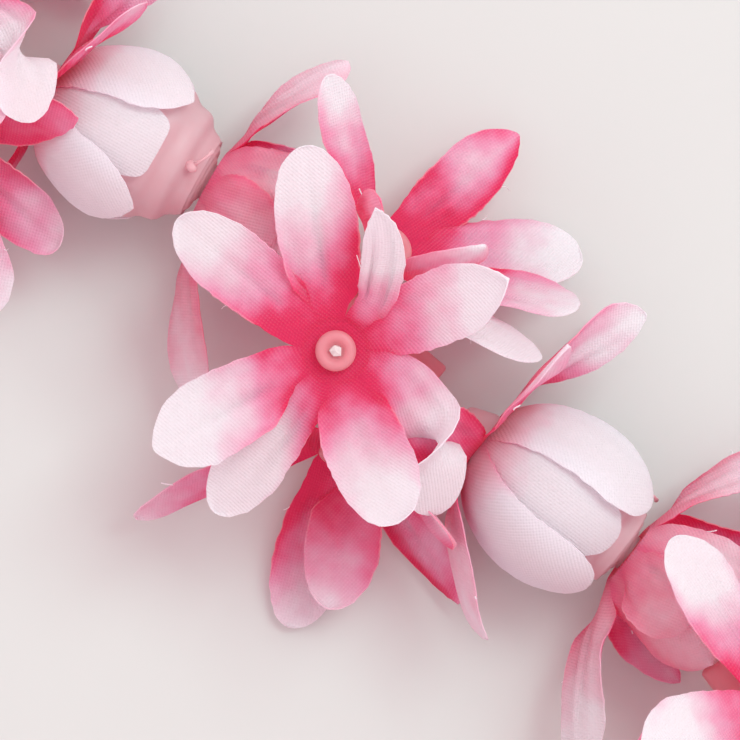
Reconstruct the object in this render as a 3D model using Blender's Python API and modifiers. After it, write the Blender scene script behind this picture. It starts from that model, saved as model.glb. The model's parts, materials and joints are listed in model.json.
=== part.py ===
"""A cloth flower lei, laid down on a table as a closed loop.

Ten repeats are strung on one cord. A repeat is a closed blossom, whose cup of petals hugs a moulded bell,
then an open star at the bell's mouth, then a spray of three open stars on a moulded branching stem.
Metres, +Z up. The loop lies on z = 0, centred on the origin, with its long side along X.
"""

import math
import random
from collections import namedtuple

import bmesh
import bpy
from mathutils import Matrix, Vector
from mathutils.bvhtree import BVHTree

MM = 0.001
UP = Vector((0, 0, 1))
FORWARD = Vector((1, 0, 0))
WELD = 0.01 * MM

# The loop that the cord follows, clockwise seen from above
REPEATS = 10
REPEAT_LENGTH = 90 * MM
LOOP_LENGTH = REPEATS * REPEAT_LENGTH
FLATTENING = 0.42
LOOP_STEPS = 1800
FIRST_BASE = -68.8 * MM
CORD_HEIGHT = 14.2 * MM
CORD_RADIUS = 1.0 * MM
CORD_LONG_BEND = 4
CORD_SHORT_BEND = 2

# The blossom: distances run along its axis from its base
BLOSSOM_FROM = -5 * MM
BLOSSOM_TO = 34 * MM
BLOSSOM_YAW = math.radians(6)
MOUTH_STAR_AT = 29.8 * MM
TUBE_RADIUS = 3.1 * MM
BORE_RADIUS = 1.5 * MM
TUBE_SIDES = 10

# The bell: a round skirt on the blossom's tube
BELL_RADIUS = 12.4 * MM
BELL_MIDDLE = 15 * MM
BELL_BELOW = 12 * MM
BELL_BEYOND = 15.5 * MM
BELL_WALL = 0.8 * MM
BELL_START = math.radians(15)
BELL_MOUTH = math.radians(147)
BELL_SEGMENTS = 4
BELL_INNER_SEGMENTS = 2

# The spray: distances run along the cord from the blossom's base
SLEEVE_FROM = 52 * MM
SLEEVE_TO = 78 * MM
BRANCH_RADIUS = 1.8 * MM
BRANCH_START = 2.2 * MM
BRANCH_STEPS = 3
BRANCH_FOOT_RANGE = 9 * MM
BRANCH_FIRST_PULL = 5 * MM
BRANCH_LAST_PULL = 6 * MM
SLEEVE_SIDES = 8
SOCKET_RADIUS = 3.2 * MM
SOCKET_HOLE = 1.6 * MM
SOCKET_HOLE_DEPTH = 2.5 * MM
SOCKET_BELOW = 4 * MM
BRANCH_IN_SOCKET = 1.2 * MM
SOCKET_ABOVE = 2.4 * MM
SOCKET_SIDES = 6

# Petals
STAR_LENGTH = 28.0 * MM
STAR_HALF_WIDTH = 6.3 * MM
STAR_HUB = 4.8 * MM
CUP_LENGTH = 28.5 * MM
CUP_HALF_WIDTH = 4.9 * MM
RING_HUB = 5.6 * MM
RING_HOLE = 3.9 * MM
HUB_HALF_HEIGHT = 0.9 * MM
BLADE = 1.2 * MM
WIDEST = 0.6
ROOT_SHARE = 0.25
ROOT_RIDGE = 0.8
LINE_STEPS = 24
BLADE_STEPS = (10, 20)
CUP_STEPS = (8, 17)
CUP_LIFT = math.radians(105)

# A petal is tried in ever wider variations until it clears what is already there
TRIALS = 400
TRIAL_STEPS = (5, 9, 13, 17, 21, 23)
TRIAL_MARGIN = 0.4 * MM
TRIAL_LIFT = math.radians(75)
TRIAL_SWEEP = math.radians(70)
TRIAL_ROOT_SHARE = 0.6
TRIAL_TIP_EXTRA = 0.3
TRIAL_SHORTENING = 0.22
FLOOR_GAP = 0.1 * MM

# The petals of each star, one row each: azimuth, sweep, root lift, tip lift and roll in degrees, then length
# and width against the common petal. Azimuth 0 is up, or forward along the cord on the star that faces up.
CUP = [
    (0, 0, 36, 126, 0, 0.96, 1),
    (45, 0, 36, 122, 0, 1, 1),
    (90, 0, 36, 126, 0, 0.96, 1),
    (135, 0, 36, 124, 0, 1, 1),
    (180, 0, 36, 126, 0, 1, 1),
    (-135, 0, 36, 124, 0, 1, 1),
    (-90, 0, 36, 126, 0, 0.96, 1),
    (-45, 0, 36, 122, 0, 1, 1),
]
BASE_STAR = [
    (-67.5, -35, 8, 26, 60, 1.02, 0.95),
    (67.5, 40, 10, 46, 45, 1.12, 0.8),
    (-22.5, -40, 5, 0, 20, 0.95, 0.75),
    (22.5, -10, 0, -45, 0, 0.7, 1),
    (-112.5, 15, 5, 10, 0, 0.9, 0.85),
    (112.5, -10, 5, -20, 0, 0.85, 0.85),
]
MOUTH_STAR = [
    (-95, 0, 14, 34, -60, 0.88, 0.75),
    (88, 8, 20, 42, 60, 1.12, 0.92),
    (15, -6, 40, 112, 0, 0.55, 1.05),
    (52, 8, 48, 76, 20, 0.85, 0.85),
    (-42, 5, 48, 72, -20, 0.85, 0.85),
    (-135, 10, 20, 55, 0, 0.95, 0.9),
    (132, -10, 20, 55, 0, 0.95, 0.9),
    (178, 0, 38, 96, 0, 0.9, 0.85),
]
FACE_STAR = [
    (16, -78, 16, -24, 0, 1.1, 1),
    (64, 0, 20, 28, 0, 0.95, 1),
    (92, 62, 34, 50, 0, 0.95, 0.6),
    (139, 0, 14, 2, 0, 1, 1.05),
    (180, 0, 12, 0, 0, 1, 1.05),
    (-111, 0, 14, 6, 0, 1, 1.1),
    (-86, 0, -6, -12, 0, 1, 1),
    (-33, 0, 14, 6, 0, 0.92, 1.15),
]
OUTER_STAR = [
    (-80, 0, 32, 24, 25, 0.95, 0.9),
    (143, 0, 32, 26, 0, 1.05, 1.15),
    (110, 0, 34, 28, 0, 1.05, 1),
    (78, 0, 30, 34, 0, 1, 0.95),
    (40, 0, 32, 40, 0, 0.9, 0.9),
    (-172, 0, 30, 55, 0, 0.95, 0.9),
    (-20, 0, 30, 30, 0, 0.8, 0.9),
]
INNER_STAR = [
    (178, 0, 50, 66, 0, 1.05, 1),
    (-150, 0, 42, 46, 0, 1, 1.1),
    (-118, 0, 34, 34, 0, 1.02, 1),
    (108, 0, 30, 36, 0, 1.12, 0.8),
    (-62, 0, 30, 24, 0, 0.9, 0.9),
    (55, 0, 30, 24, 0, 0.9, 0.9),
]
LOOSE_CUP_OPENING = math.radians(12)
LOOSE_CUP_LENGTH = 0.86
TIGHT_CUP_LENGTH = 1.09

# Each star of the spray: its petals, hub, facing direction and the side of azimuth 0, in the sleeve's frame
SPRAY = [
    ("face", FACE_STAR, Vector((-2.3, -6.5, 14.4)) * MM, Vector((0.03, -0.04, 1)), FORWARD),
    ("outer", OUTER_STAR, Vector((-6.5, 11.3, 3.4)) * MM, Vector((0.2, 0.79, 0.57)), UP),
    ("inner", INNER_STAR, Vector((8.3, -17.9, -3.6)) * MM, Vector((0.4, -0.82, 0.42)), UP),
]
PLAIN_REPEATS = 2
SPRAY_ROLLS = (0, 38)
SPRAY_ROLL_RANGE = (-6, 34)
SEED = 12
VARIED_SWEEP = math.radians(7)
VARIED_ROOT = math.radians(6)
VARIED_TIP = math.radians(12)
VARIED_ROLL = math.radians(9)
VARIED_LENGTH = 0.05

Petal = namedtuple("Petal", "azimuth sweep root_lift tip_lift roll length half_width")
Star = namedtuple("Star", "place hub petals")
Obstacle = namedtuple("Obstacle", "owner whole outer centre reach")


def loop_points():
    """Points along the loop, one for each step of its length."""
    step = LOOP_LENGTH / LOOP_STEPS
    point = Vector((0, 0, 0))
    points = []
    for index in range(LOOP_STEPS):
        turn = 2 * math.pi * (index + 0.5) / LOOP_STEPS
        heading = FLATTENING * math.sin(2 * turn) - turn
        points.append(point.copy())
        point += step * Vector((math.cos(heading), math.sin(heading), 0))
    middle = sum(points, Vector((0, 0, 0))) / LOOP_STEPS
    return [each - middle + UP * CORD_HEIGHT for each in points]


def loop_point(points, along):
    """The point at a distance along the loop."""
    place = (along / LOOP_LENGTH) % 1 * LOOP_STEPS
    index = int(place)
    return points[index].lerp(points[(index + 1) % LOOP_STEPS], place - index)


def chord_frame(points, start, end, yaw):
    """A frame at the middle of a chord of the loop: X along it, Y out of the loop, Z up."""
    first = loop_point(points, start)
    last = loop_point(points, end)
    along = Matrix.Rotation(yaw, 3, "Z") @ (last - first).normalized()
    out = UP.cross(along)
    frame = Matrix((along, out, UP)).transposed().to_4x4()
    frame.translation = (first + last) / 2
    return frame


def star_place(frame, centre, facing, top):
    """A star's own frame: Z is where it faces, and X, its azimuth 0, lies on the side of top."""
    axis = facing.normalized()
    first = (top - axis * top.dot(axis)).normalized()
    place = Matrix((first, axis.cross(first), axis)).transposed().to_4x4()
    place.translation = centre
    return frame @ place


def petal_line(place, hub, petal):
    """Centre, sideways and backward directions along a petal, from its root to its tip."""
    turn = place.to_3x3()
    point = hub * Vector((math.cos(petal.azimuth), math.sin(petal.azimuth), 0))
    line = []
    for step in range(LINE_STEPS + 1):
        share = step / LINE_STEPS
        azimuth = petal.azimuth + petal.sweep * share
        lift = petal.root_lift + (petal.tip_lift - petal.root_lift) * share
        out = Vector((math.cos(azimuth), math.sin(azimuth), 0))
        side = UP.cross(out)
        along = out * math.cos(lift) + UP * math.sin(lift)
        back = out * math.sin(lift) - UP * math.cos(lift)
        roll = petal.roll * share
        rolled_side = side * math.cos(roll) + back * math.sin(roll)
        rolled_back = back * math.cos(roll) - side * math.sin(roll)
        line.append((place @ point, turn @ rolled_side, turn @ rolled_back))
        point = point + along * petal.length / LINE_STEPS
    return line


def width_share(step):
    """A petal's width against its greatest, narrow at the root and rounded at the tip."""
    share = step / LINE_STEPS
    if share < WIDEST:
        return ROOT_SHARE + (1 - ROOT_SHARE) * math.sin(math.pi / 2 * share / WIDEST)
    return math.sqrt(max(0, 1 - ((share - WIDEST) / (1 - WIDEST)) ** 2))


def blade_tree(line, half_width, steps):
    """A search tree of a petal made a little thicker and wider than it is."""
    corners = []
    for step in steps:
        centre, side, back = line[step]
        reach = side * (half_width * width_share(step) + TRIAL_MARGIN)
        front = back * TRIAL_MARGIN
        corners += [centre - reach, centre - front, centre + reach, centre + back * (BLADE + TRIAL_MARGIN)]
    return BVHTree.FromPolygons(corners, tube_faces(len(steps), 4))


def petal_obstacle(owner, line, petal):
    """A petal as an obstacle, whole and without its root."""
    whole = blade_tree(line, petal.half_width, (0,) + TRIAL_STEPS)
    outer = blade_tree(line, petal.half_width, TRIAL_STEPS)
    return Obstacle(owner, whole, outer, line[LINE_STEPS // 2][0], petal.length / 2 + petal.half_width)


def tube_faces(rings, sides):
    """The faces of a tube given as rings of corners."""
    faces = []
    for ring in range(rings - 1):
        for side in range(sides):
            following = (side + 1) % sides
            first = ring * sides
            faces.append((first + side, first + following, first + sides + following, first + sides + side))
    return faces


def round_tree(frame, profile):
    """A search tree of a round body, given as distances along the frame's X and radii."""
    corners = []
    for along, radius in profile:
        for side in range(TUBE_SIDES):
            angle = 2 * math.pi * side / TUBE_SIDES
            corners.append(frame @ Vector((along, radius * math.cos(angle), radius * math.sin(angle))))
    return BVHTree.FromPolygons(corners, tube_faces(len(profile), TUBE_SIDES))


def lowest(line, half_width):
    """The lowest point of a petal."""
    low = line[-1][0].z
    for step in range(0, LINE_STEPS + 1, 2):
        centre, side, back = line[step]
        reach = abs(side.z) * half_width * width_share(step)
        low = min(low, centre.z - reach, centre.z + back.z * BLADE)
    return low


def settle(place, hub, wish, owner, carriers, obstacles, draw):
    """The first variation of a petal that touches nothing placed before it, or None."""
    for trial in range(TRIALS):
        spread = trial / TRIALS
        swing = draw.uniform(-1, 1) * spread
        lift = draw.uniform(-1, 1) * spread * TRIAL_LIFT
        petal = wish._replace(
            sweep=wish.sweep + swing * TRIAL_SWEEP,
            root_lift=wish.root_lift + lift * TRIAL_ROOT_SHARE,
            tip_lift=wish.tip_lift + lift + draw.uniform(-1, 1) * spread * TRIAL_TIP_EXTRA,
            length=wish.length * (1 - spread * TRIAL_SHORTENING),
        )
        line = petal_line(place, hub, petal)
        if lowest(line, petal.half_width) < FLOOR_GAP:
            continue
        blade = petal_obstacle(owner, line, petal)
        if clear_of(obstacles, carriers, blade):
            obstacles.append(blade)
            return petal
    return None


def clear_of(obstacles, carriers, blade):
    """Whether a petal clears every obstacle, its own star and carriers being met beyond its root only."""
    for other in obstacles:
        if (other.centre - blade.centre).length > other.reach + blade.reach:
            continue
        if other.owner == blade.owner:
            touching = blade.outer.overlap(other.outer)
        elif other.owner in carriers:
            touching = blade.outer.overlap(other.whole)
        else:
            touching = blade.whole.overlap(other.whole)
        if touching:
            return False
    return True


def varied(draw, repeat, petal):
    """A petal varied a little, except in the two repeats that keep the pattern as it is."""
    loose = 0 if repeat < PLAIN_REPEATS else 1
    return petal._replace(
        sweep=petal.sweep + loose * draw.uniform(-VARIED_SWEEP, VARIED_SWEEP),
        root_lift=petal.root_lift + loose * draw.uniform(-VARIED_ROOT, VARIED_ROOT),
        tip_lift=petal.tip_lift + loose * draw.uniform(-VARIED_TIP, VARIED_TIP),
        roll=petal.roll + loose * draw.uniform(-VARIED_ROLL, VARIED_ROLL),
        length=petal.length * (1 + loose * draw.uniform(-VARIED_LENGTH, VARIED_LENGTH)),
    )


def wished(petals, length, half_width):
    """Petals from rows of azimuth, sweep, root lift, tip lift and roll in degrees, and relative sizes."""
    return [
        Petal(*(math.radians(angle) for angle in row[:5]), length * row[5], half_width * row[6])
        for row in petals
    ]


def cup_petals(repeat):
    """The cup's petals: every other cup is tight. The rest are short and loose but for the lowest petal."""
    petals = wished(CUP, CUP_LENGTH, CUP_HALF_WIDTH)
    if repeat % 2:
        return [reshaped(petal, TIGHT_CUP_LENGTH, 0) for petal in petals]
    return [
        petal if petal.azimuth == math.pi else reshaped(petal, LOOSE_CUP_LENGTH, LOOSE_CUP_OPENING)
        for petal in petals
    ]


def reshaped(petal, longer, opening):
    """A cup petal made longer or shorter, and opened; a longer one goes on along the same curve."""
    bend = (petal.tip_lift - petal.root_lift) * max(1, longer)
    return petal._replace(tip_lift=petal.root_lift + bend - opening, length=petal.length * longer)


def spray_rolls(draw):
    """How far each spray is rolled about the cord."""
    rolls = [math.radians(roll) for roll in SPRAY_ROLLS]
    while len(rolls) < REPEATS:
        rolls.append(math.radians(draw.uniform(*SPRAY_ROLL_RANGE)))
    return rolls


def lay_petals(draw, repeat, place, hub, wishes, owner, carriers, obstacles):
    """A star whose petals are settled one by one; a petal that finds no room is left out."""
    petals = []
    for wish in wishes:
        petal = settle(place, hub, varied(draw, repeat, wish), owner, carriers, obstacles, draw)
        if petal:
            petals.append(petal)
    return Star(place, hub, sorted(petals))


def bell_outline(inset, segments):
    """The bell's skirt as radii and distances from the base, from its start to its mouth."""
    outline = []
    for segment in range(segments + 1):
        turn = BELL_START + (BELL_MOUTH - BELL_START) * segment / segments
        height = (BELL_BELOW if math.cos(turn) > 0 else BELL_BEYOND) - inset
        outline.append(((BELL_RADIUS - inset) * math.sin(turn), BELL_MIDDLE - height * math.cos(turn)))
    return outline


def blossom_base():
    """Where the blossom's base lies along its frame, whose origin is the tube's middle."""
    return -(BLOSSOM_TO + BLOSSOM_FROM) / 2


def branch_line(hub, facing):
    """A branch's curve in the sleeve's frame, from the sleeve's wall to the socket behind the star."""
    foot = Vector((max(-BRANCH_FOOT_RANGE, min(BRANCH_FOOT_RANGE, hub.x / 2)), 0, 0))
    away = Vector((0, hub.y, hub.z)).normalized()
    axis = facing.normalized()
    first = foot + away * BRANCH_START
    last = hub - axis * (SOCKET_BELOW - BRANCH_IN_SOCKET)
    first_pull = first + away * BRANCH_FIRST_PULL
    last_pull = last - axis * BRANCH_LAST_PULL
    points = []
    for step in range(BRANCH_STEPS + 1):
        share = step / BRANCH_STEPS
        near = first.lerp(first_pull, share).lerp(first_pull.lerp(last_pull, share), share)
        far = first_pull.lerp(last_pull, share).lerp(last_pull.lerp(last, share), share)
        points.append(near.lerp(far, share))
    return points


def tube_tree(points, radius):
    """A search tree of a tube through a few points, each stretch taken on its own."""
    corners = []
    faces = []
    for first, last in zip(points, points[1:]):
        turn = (last - first).to_track_quat("X", "Z").to_matrix()
        for end in (first, last):
            for side in range(TUBE_SIDES):
                angle = 2 * math.pi * side / TUBE_SIDES
                corners.append(end + turn @ Vector((0, radius * math.cos(angle), radius * math.sin(angle))))
        start = len(corners) - 2 * TUBE_SIDES
        faces += [[corner + start for corner in face] for face in tube_faces(2, TUBE_SIDES)]
    return BVHTree.FromPolygons(corners, faces)


def body_obstacle(owner, tree, centre, reach):
    """A moulded piece or a stretch of cord as an obstacle."""
    return Obstacle(owner, tree, tree, centre, reach)


def lay_out():
    """Everything's place: the blossoms, the sprays and the cord's points."""
    draw = random.Random(SEED)
    points = loop_points()
    blossom_frames = []
    sleeve_frames = []
    for repeat, roll in enumerate(spray_rolls(draw)):
        base = FIRST_BASE + repeat * REPEAT_LENGTH
        blossom_frames.append(chord_frame(points, base + BLOSSOM_FROM, base + BLOSSOM_TO, BLOSSOM_YAW))
        sleeve = chord_frame(points, base + SLEEVE_FROM, base + SLEEVE_TO, 0)
        sleeve_frames.append(sleeve @ Matrix.Rotation(-roll, 4, "X"))
    cord = cord_points(blossom_frames, sleeve_frames)
    obstacles = []
    for repeat in range(REPEATS):
        add_bodies(obstacles, repeat, blossom_frames[repeat], sleeve_frames[repeat])
    obstacles += cord_obstacles(cord)

    base_places = []
    mouth_places = []
    cups = []
    for frame in blossom_frames:
        base_places.append(star_place(frame, Vector((blossom_base(), 0, 0)), FORWARD, UP))
        mouth = Vector((blossom_base() + MOUTH_STAR_AT, 0, 0))
        mouth_places.append(star_place(frame, mouth, FORWARD, UP))
    for repeat in range(REPEATS):
        owner = ("base", repeat)
        cups.append(cup_petals(repeat))
        for petal in cups[repeat]:
            line = petal_line(base_places[repeat], RING_HUB, petal)
            obstacles.append(petal_obstacle(owner, line, petal))

    sprays = [[] for repeat in range(REPEATS)]
    for name, petals, hub, facing, top in SPRAY:
        wishes = wished(petals, STAR_LENGTH, STAR_HALF_WIDTH)
        for repeat in range(REPEATS):
            place = star_place(sleeve_frames[repeat], hub, facing, top)
            carriers = [("stem", repeat)]
            owner = (name, repeat)
            sprays[repeat].append(
                lay_petals(draw, repeat, place, STAR_HUB, wishes, owner, carriers, obstacles)
            )
    wishes = wished(MOUTH_STAR, STAR_LENGTH, STAR_HALF_WIDTH)
    mouths = []
    for repeat in range(REPEATS):
        carriers = [("bell", repeat), "cord"]
        owner = ("mouth", repeat)
        mouths.append(
            lay_petals(draw, repeat, mouth_places[repeat], RING_HUB, wishes, owner, carriers, obstacles)
        )
    wishes = wished(BASE_STAR, STAR_LENGTH, STAR_HALF_WIDTH)
    bases = []
    for repeat in range(REPEATS):
        carriers = [("bell", repeat), "cord"]
        owner = ("base", repeat)
        star = lay_petals(draw, repeat, base_places[repeat], RING_HUB, wishes, owner, carriers, obstacles)
        bases.append(star._replace(petals=sorted(star.petals + cups[repeat])))
    return blossom_frames, sleeve_frames, cord, bases, mouths, sprays


def add_bodies(obstacles, repeat, blossom, sleeve):
    """The moulded pieces of a repeat as obstacles to the petals."""
    skirt = [(blossom_base() + along, radius) for radius, along in bell_outline(0, BELL_SEGMENTS)]
    tube = [(blossom_base() + BLOSSOM_FROM, TUBE_RADIUS), skirt[0]]
    bell = tube + skirt
    owner = ("bell", repeat)
    reach = (BLOSSOM_TO - BLOSSOM_FROM) / 2
    obstacles.append(body_obstacle(owner, round_tree(blossom, bell), blossom.translation, reach))
    end = [(blossom_base() + MOUTH_STAR_AT, TUBE_RADIUS), (blossom_base() + BLOSSOM_TO, TUBE_RADIUS)]
    obstacles.append(body_obstacle(owner, round_tree(blossom, end), blossom.translation, reach))
    half = (SLEEVE_TO - SLEEVE_FROM) / 2
    owner = ("stem", repeat)
    tree = round_tree(sleeve, [(-half, TUBE_RADIUS), (half, TUBE_RADIUS)])
    obstacles.append(body_obstacle(owner, tree, sleeve.translation, half))
    for name, petals, hub, facing, top in SPRAY:
        line = [sleeve @ point for point in branch_line(hub, facing)]
        tree = tube_tree(line, BRANCH_RADIUS)
        obstacles.append(body_obstacle(owner, tree, sleeve @ hub, hub.length))
        axis = facing.normalized()
        ends = [sleeve @ (hub - axis * SOCKET_BELOW), sleeve @ (hub + axis * SOCKET_ABOVE)]
        obstacles.append(body_obstacle(owner, tube_tree(ends, SOCKET_RADIUS), sleeve @ hub, SOCKET_BELOW))


def cord_obstacles(cord):
    """The cord as obstacles, one for each stretch between two of its points."""
    found = []
    for index, point in enumerate(cord):
        following = cord[(index + 1) % len(cord)]
        tree = tube_tree([point, following], CORD_RADIUS)
        found.append(body_obstacle("cord", tree, (point + following) / 2, (following - point).length / 2))
    return found


def cord_points(blossom_frames, sleeve_frames):
    """The cord's points: straight through each tube, and a smooth bend between one tube and the next."""
    runs = []
    for blossom, sleeve in zip(blossom_frames, sleeve_frames):
        runs.append((blossom, (BLOSSOM_TO - BLOSSOM_FROM) / 2, CORD_LONG_BEND))
        runs.append((sleeve, (SLEEVE_TO - SLEEVE_FROM) / 2, CORD_SHORT_BEND))
    points = []
    for index, (frame, half, steps) in enumerate(runs):
        following, next_half, _ = runs[(index + 1) % len(runs)]
        along = frame.to_3x3() @ FORWARD
        next_along = following.to_3x3() @ FORWARD
        start = frame.translation + along * half
        end = following.translation - next_along * next_half
        pull = (end - start).length / 3
        points += [frame.translation - along * half, start]
        for step in range(1, steps):
            share = step / steps
            first = start + along * pull
            last = end - next_along * pull
            near = start.lerp(first, share).lerp(first.lerp(last, share), share)
            far = first.lerp(last, share).lerp(last.lerp(end, share), share)
            points.append(near.lerp(far, share))
    return points


def add_star(bm, star, hole):
    """A star of petals in one skin: each is a blade with a flat front and a ridged back, round a hub."""
    petals = star.petals
    count = len(petals)
    place = star.place
    fronts = []
    backs = []
    valleys = []
    for index, petal in enumerate(petals):
        before = petals[index - 1].azimuth - (2 * math.pi if index == 0 else 0)
        azimuth = (petal.azimuth + before) / 2
        out = Vector((math.cos(azimuth), math.sin(azimuth), 0))
        valleys.append(bm.verts.new(place @ (out * star.hub)))
        if hole:
            fronts.append(bm.verts.new(place @ (out * hole + UP * HUB_HALF_HEIGHT)))
            backs.append(bm.verts.new(place @ (out * hole - UP * HUB_HALF_HEIGHT)))
    if not hole:
        fronts.append(bm.verts.new(place @ (UP * HUB_HALF_HEIGHT)))
        backs.append(bm.verts.new(place @ (UP * -HUB_HALF_HEIGHT)))
    for index, petal in enumerate(petals):
        following = (index + 1) % count
        line = petal_line(place, star.hub, petal)
        centre, side, back = line[0]
        left = valleys[index]
        right = valleys[following]
        ridge = bm.verts.new(centre + back * BLADE * ROOT_RIDGE)
        if hole:
            front, next_front = fronts[index], fronts[following]
            rear, next_rear = backs[index], backs[following]
            bm.faces.new((front, left, right, next_front))
            bm.faces.new((rear, ridge, left))
            bm.faces.new((rear, next_rear, ridge))
            bm.faces.new((next_rear, right, ridge))
            bm.faces.new((front, next_front, next_rear, rear))
        else:
            bm.faces.new((fronts[0], left, right))
            bm.faces.new((backs[0], ridge, left))
            bm.faces.new((backs[0], right, ridge))
        for step in CUP_STEPS if petal.tip_lift > CUP_LIFT else BLADE_STEPS:
            centre, side, back = line[step]
            reach = side * petal.half_width * width_share(step)
            next_left = bm.verts.new(centre - reach)
            next_right = bm.verts.new(centre + reach)
            next_ridge = bm.verts.new(centre + back * BLADE)
            bm.faces.new((left, next_left, next_right))
            bm.faces.new((left, next_right, right))
            bm.faces.new((left, ridge, next_ridge))
            bm.faces.new((left, next_ridge, next_left))
            bm.faces.new((ridge, right, next_right))
            bm.faces.new((ridge, next_right, next_ridge))
            left, right, ridge = next_left, next_right, next_ridge
        tip = bm.verts.new(line[-1][0])
        bm.faces.new((left, tip, right))
        bm.faces.new((left, ridge, tip))
        bm.faces.new((ridge, right, tip))


def set_on_floor(bm):
    """Cut flat what reaches below the surface that the lei lies on."""
    bmesh.ops.bisect_plane(
        bm, geom=bm.verts[:] + bm.edges[:] + bm.faces[:], plane_co=(0, 0, 0), plane_no=(0, 0, -1),
        clear_outer=True,
    )
    bmesh.ops.holes_fill(bm, edges=[edge for edge in bm.edges if edge.is_boundary], sides=0)


def material(name, colour, roughness):
    """A plain surface in one colour."""
    made = bpy.data.materials.new(name)
    made.use_nodes = True
    shader = made.node_tree.nodes["Principled BSDF"]
    shader.inputs["Base Color"].default_value = (*colour, 1)
    shader.inputs["Roughness"].default_value = roughness
    shader.inputs["Metallic"].default_value = 0
    made.diffuse_color = (*colour, 1)
    return made


def new_object(name, data, surface, collection, place):
    """An object in a collection, at a place."""
    made = bpy.data.objects.new(name, data)
    made.matrix_world = place
    data.materials.append(surface)
    collection.objects.link(made)
    return made


def star_object(name, star, hole, surface, collection):
    """A star as an object, with its origin at its hub."""
    bm = bmesh.new()
    add_star(bm, star, hole)
    set_on_floor(bm)
    bmesh.ops.recalc_face_normals(bm, faces=bm.faces)
    bm.transform(star.place.inverted())
    mesh = bpy.data.meshes.new(name)
    bm.to_mesh(mesh)
    bm.free()
    return new_object(name, mesh, surface, collection, star.place)


def turned_object(name, profile, closed, sides, surface, collection, place):
    """A profile of radii and heights, turned about Z."""
    bm = bmesh.new()
    corners = [bm.verts.new((radius, 0, height)) for radius, height in profile]
    for first, last in zip(corners, corners[1:]):
        bm.edges.new((first, last))
    if closed:
        bm.edges.new((corners[-1], corners[0]))
    mesh = bpy.data.meshes.new(name)
    bm.to_mesh(mesh)
    bm.free()
    made = new_object(name, mesh, surface, collection, place)
    screw = made.modifiers.new("Turn", "SCREW")
    screw.steps = sides
    screw.render_steps = sides
    screw.use_merge_vertices = True
    screw.merge_threshold = WELD
    screw.use_smooth_shade = False
    return made


def cord_object(points, surface, collection):
    """The closed cord."""
    curve = bpy.data.curves.new("cord", "CURVE")
    curve.dimensions = "3D"
    curve.bevel_depth = CORD_RADIUS
    curve.bevel_resolution = 2
    spline = curve.splines.new("POLY")
    spline.points.add(len(points) - 1)
    for place, point in zip(spline.points, points):
        place.co = (*point, 1)
    spline.use_cyclic_u = True
    return new_object("cord", curve, surface, collection, Matrix())


def bell_object(name, place, surface, collection):
    """The blossom's moulded bell with the tube through it."""
    profile = [(TUBE_RADIUS, BLOSSOM_TO)]
    inner = bell_outline(BELL_WALL, BELL_INNER_SEGMENTS)
    profile.append((TUBE_RADIUS, inner[0][1] + BELL_WALL))
    profile += inner[1:]
    profile += reversed(bell_outline(0, BELL_SEGMENTS))
    profile.append((TUBE_RADIUS, BLOSSOM_FROM))
    profile.append((BORE_RADIUS, BLOSSOM_FROM))
    profile.append((BORE_RADIUS, BLOSSOM_TO))
    return turned_object(name, profile, True, TUBE_SIDES, surface, collection, place)


def branch_object(name, points, surface, collection, place):
    """A branch of the spray's stem as a mesh."""
    curve = bpy.data.curves.new(name, "CURVE")
    curve.dimensions = "3D"
    curve.bevel_depth = BRANCH_RADIUS
    curve.bevel_resolution = 1
    curve.use_fill_caps = True
    spline = curve.splines.new("POLY")
    spline.points.add(len(points) - 1)
    for corner, point in zip(spline.points, points):
        corner.co = (*point, 1)
    drawn = new_object(name, curve, surface, collection, place)
    bpy.context.view_layer.update()
    graph = bpy.context.evaluated_depsgraph_get()
    mesh = bpy.data.meshes.new_from_object(drawn.evaluated_get(graph))
    bpy.data.objects.remove(drawn)
    bm = bmesh.new()
    bm.from_mesh(mesh)
    bmesh.ops.remove_doubles(bm, verts=bm.verts, dist=WELD)
    bm.to_mesh(mesh)
    bm.free()
    return new_object(name, mesh, surface, collection, place)


def spray_object(name, frame, stars, surface, collection, scratch):
    """The spray: a sleeve for the cord, three branches, and a star pressed on each branch's socket."""
    half = (SLEEVE_TO - SLEEVE_FROM) / 2
    profile = [(TUBE_RADIUS, half), (TUBE_RADIUS, -half), (BORE_RADIUS, -half), (BORE_RADIUS, half)]
    lying = star_place(frame, Vector((0, 0, 0)), FORWARD, UP)
    sleeve = turned_object(name, profile, True, SLEEVE_SIDES, surface, collection, lying)
    socket = [
        (0, SOCKET_ABOVE - SOCKET_HOLE_DEPTH),
        (SOCKET_HOLE, SOCKET_ABOVE - SOCKET_HOLE_DEPTH),
        (SOCKET_HOLE, SOCKET_ABOVE),
        (SOCKET_RADIUS, SOCKET_ABOVE),
        (SOCKET_RADIUS, -SOCKET_BELOW),
        (0, -SOCKET_BELOW),
    ]
    for star, (label, petals, hub, facing, top) in zip(stars, SPRAY):
        branch_object(label + "_branch", branch_line(hub, facing), surface, scratch, frame)
        turned_object(label + "_socket", socket, False, SOCKET_SIDES, surface, scratch, star.place)
        star_object(label + "_petals", star, 0, surface, scratch)
    union = sleeve.modifiers.new("Join", "BOOLEAN")
    union.operation = "UNION"
    union.operand_type = "COLLECTION"
    union.collection = scratch
    # the exact solver leaves one spray in two bodies
    union.solver = "MANIFOLD"
    bpy.context.view_layer.update()
    graph = bpy.context.evaluated_depsgraph_get()
    joined = bpy.data.meshes.new_from_object(sleeve.evaluated_get(graph))
    sleeve.modifiers.clear()
    sleeve.data = joined
    for piece in list(scratch.objects):
        bpy.data.objects.remove(piece)
    return sleeve


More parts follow.
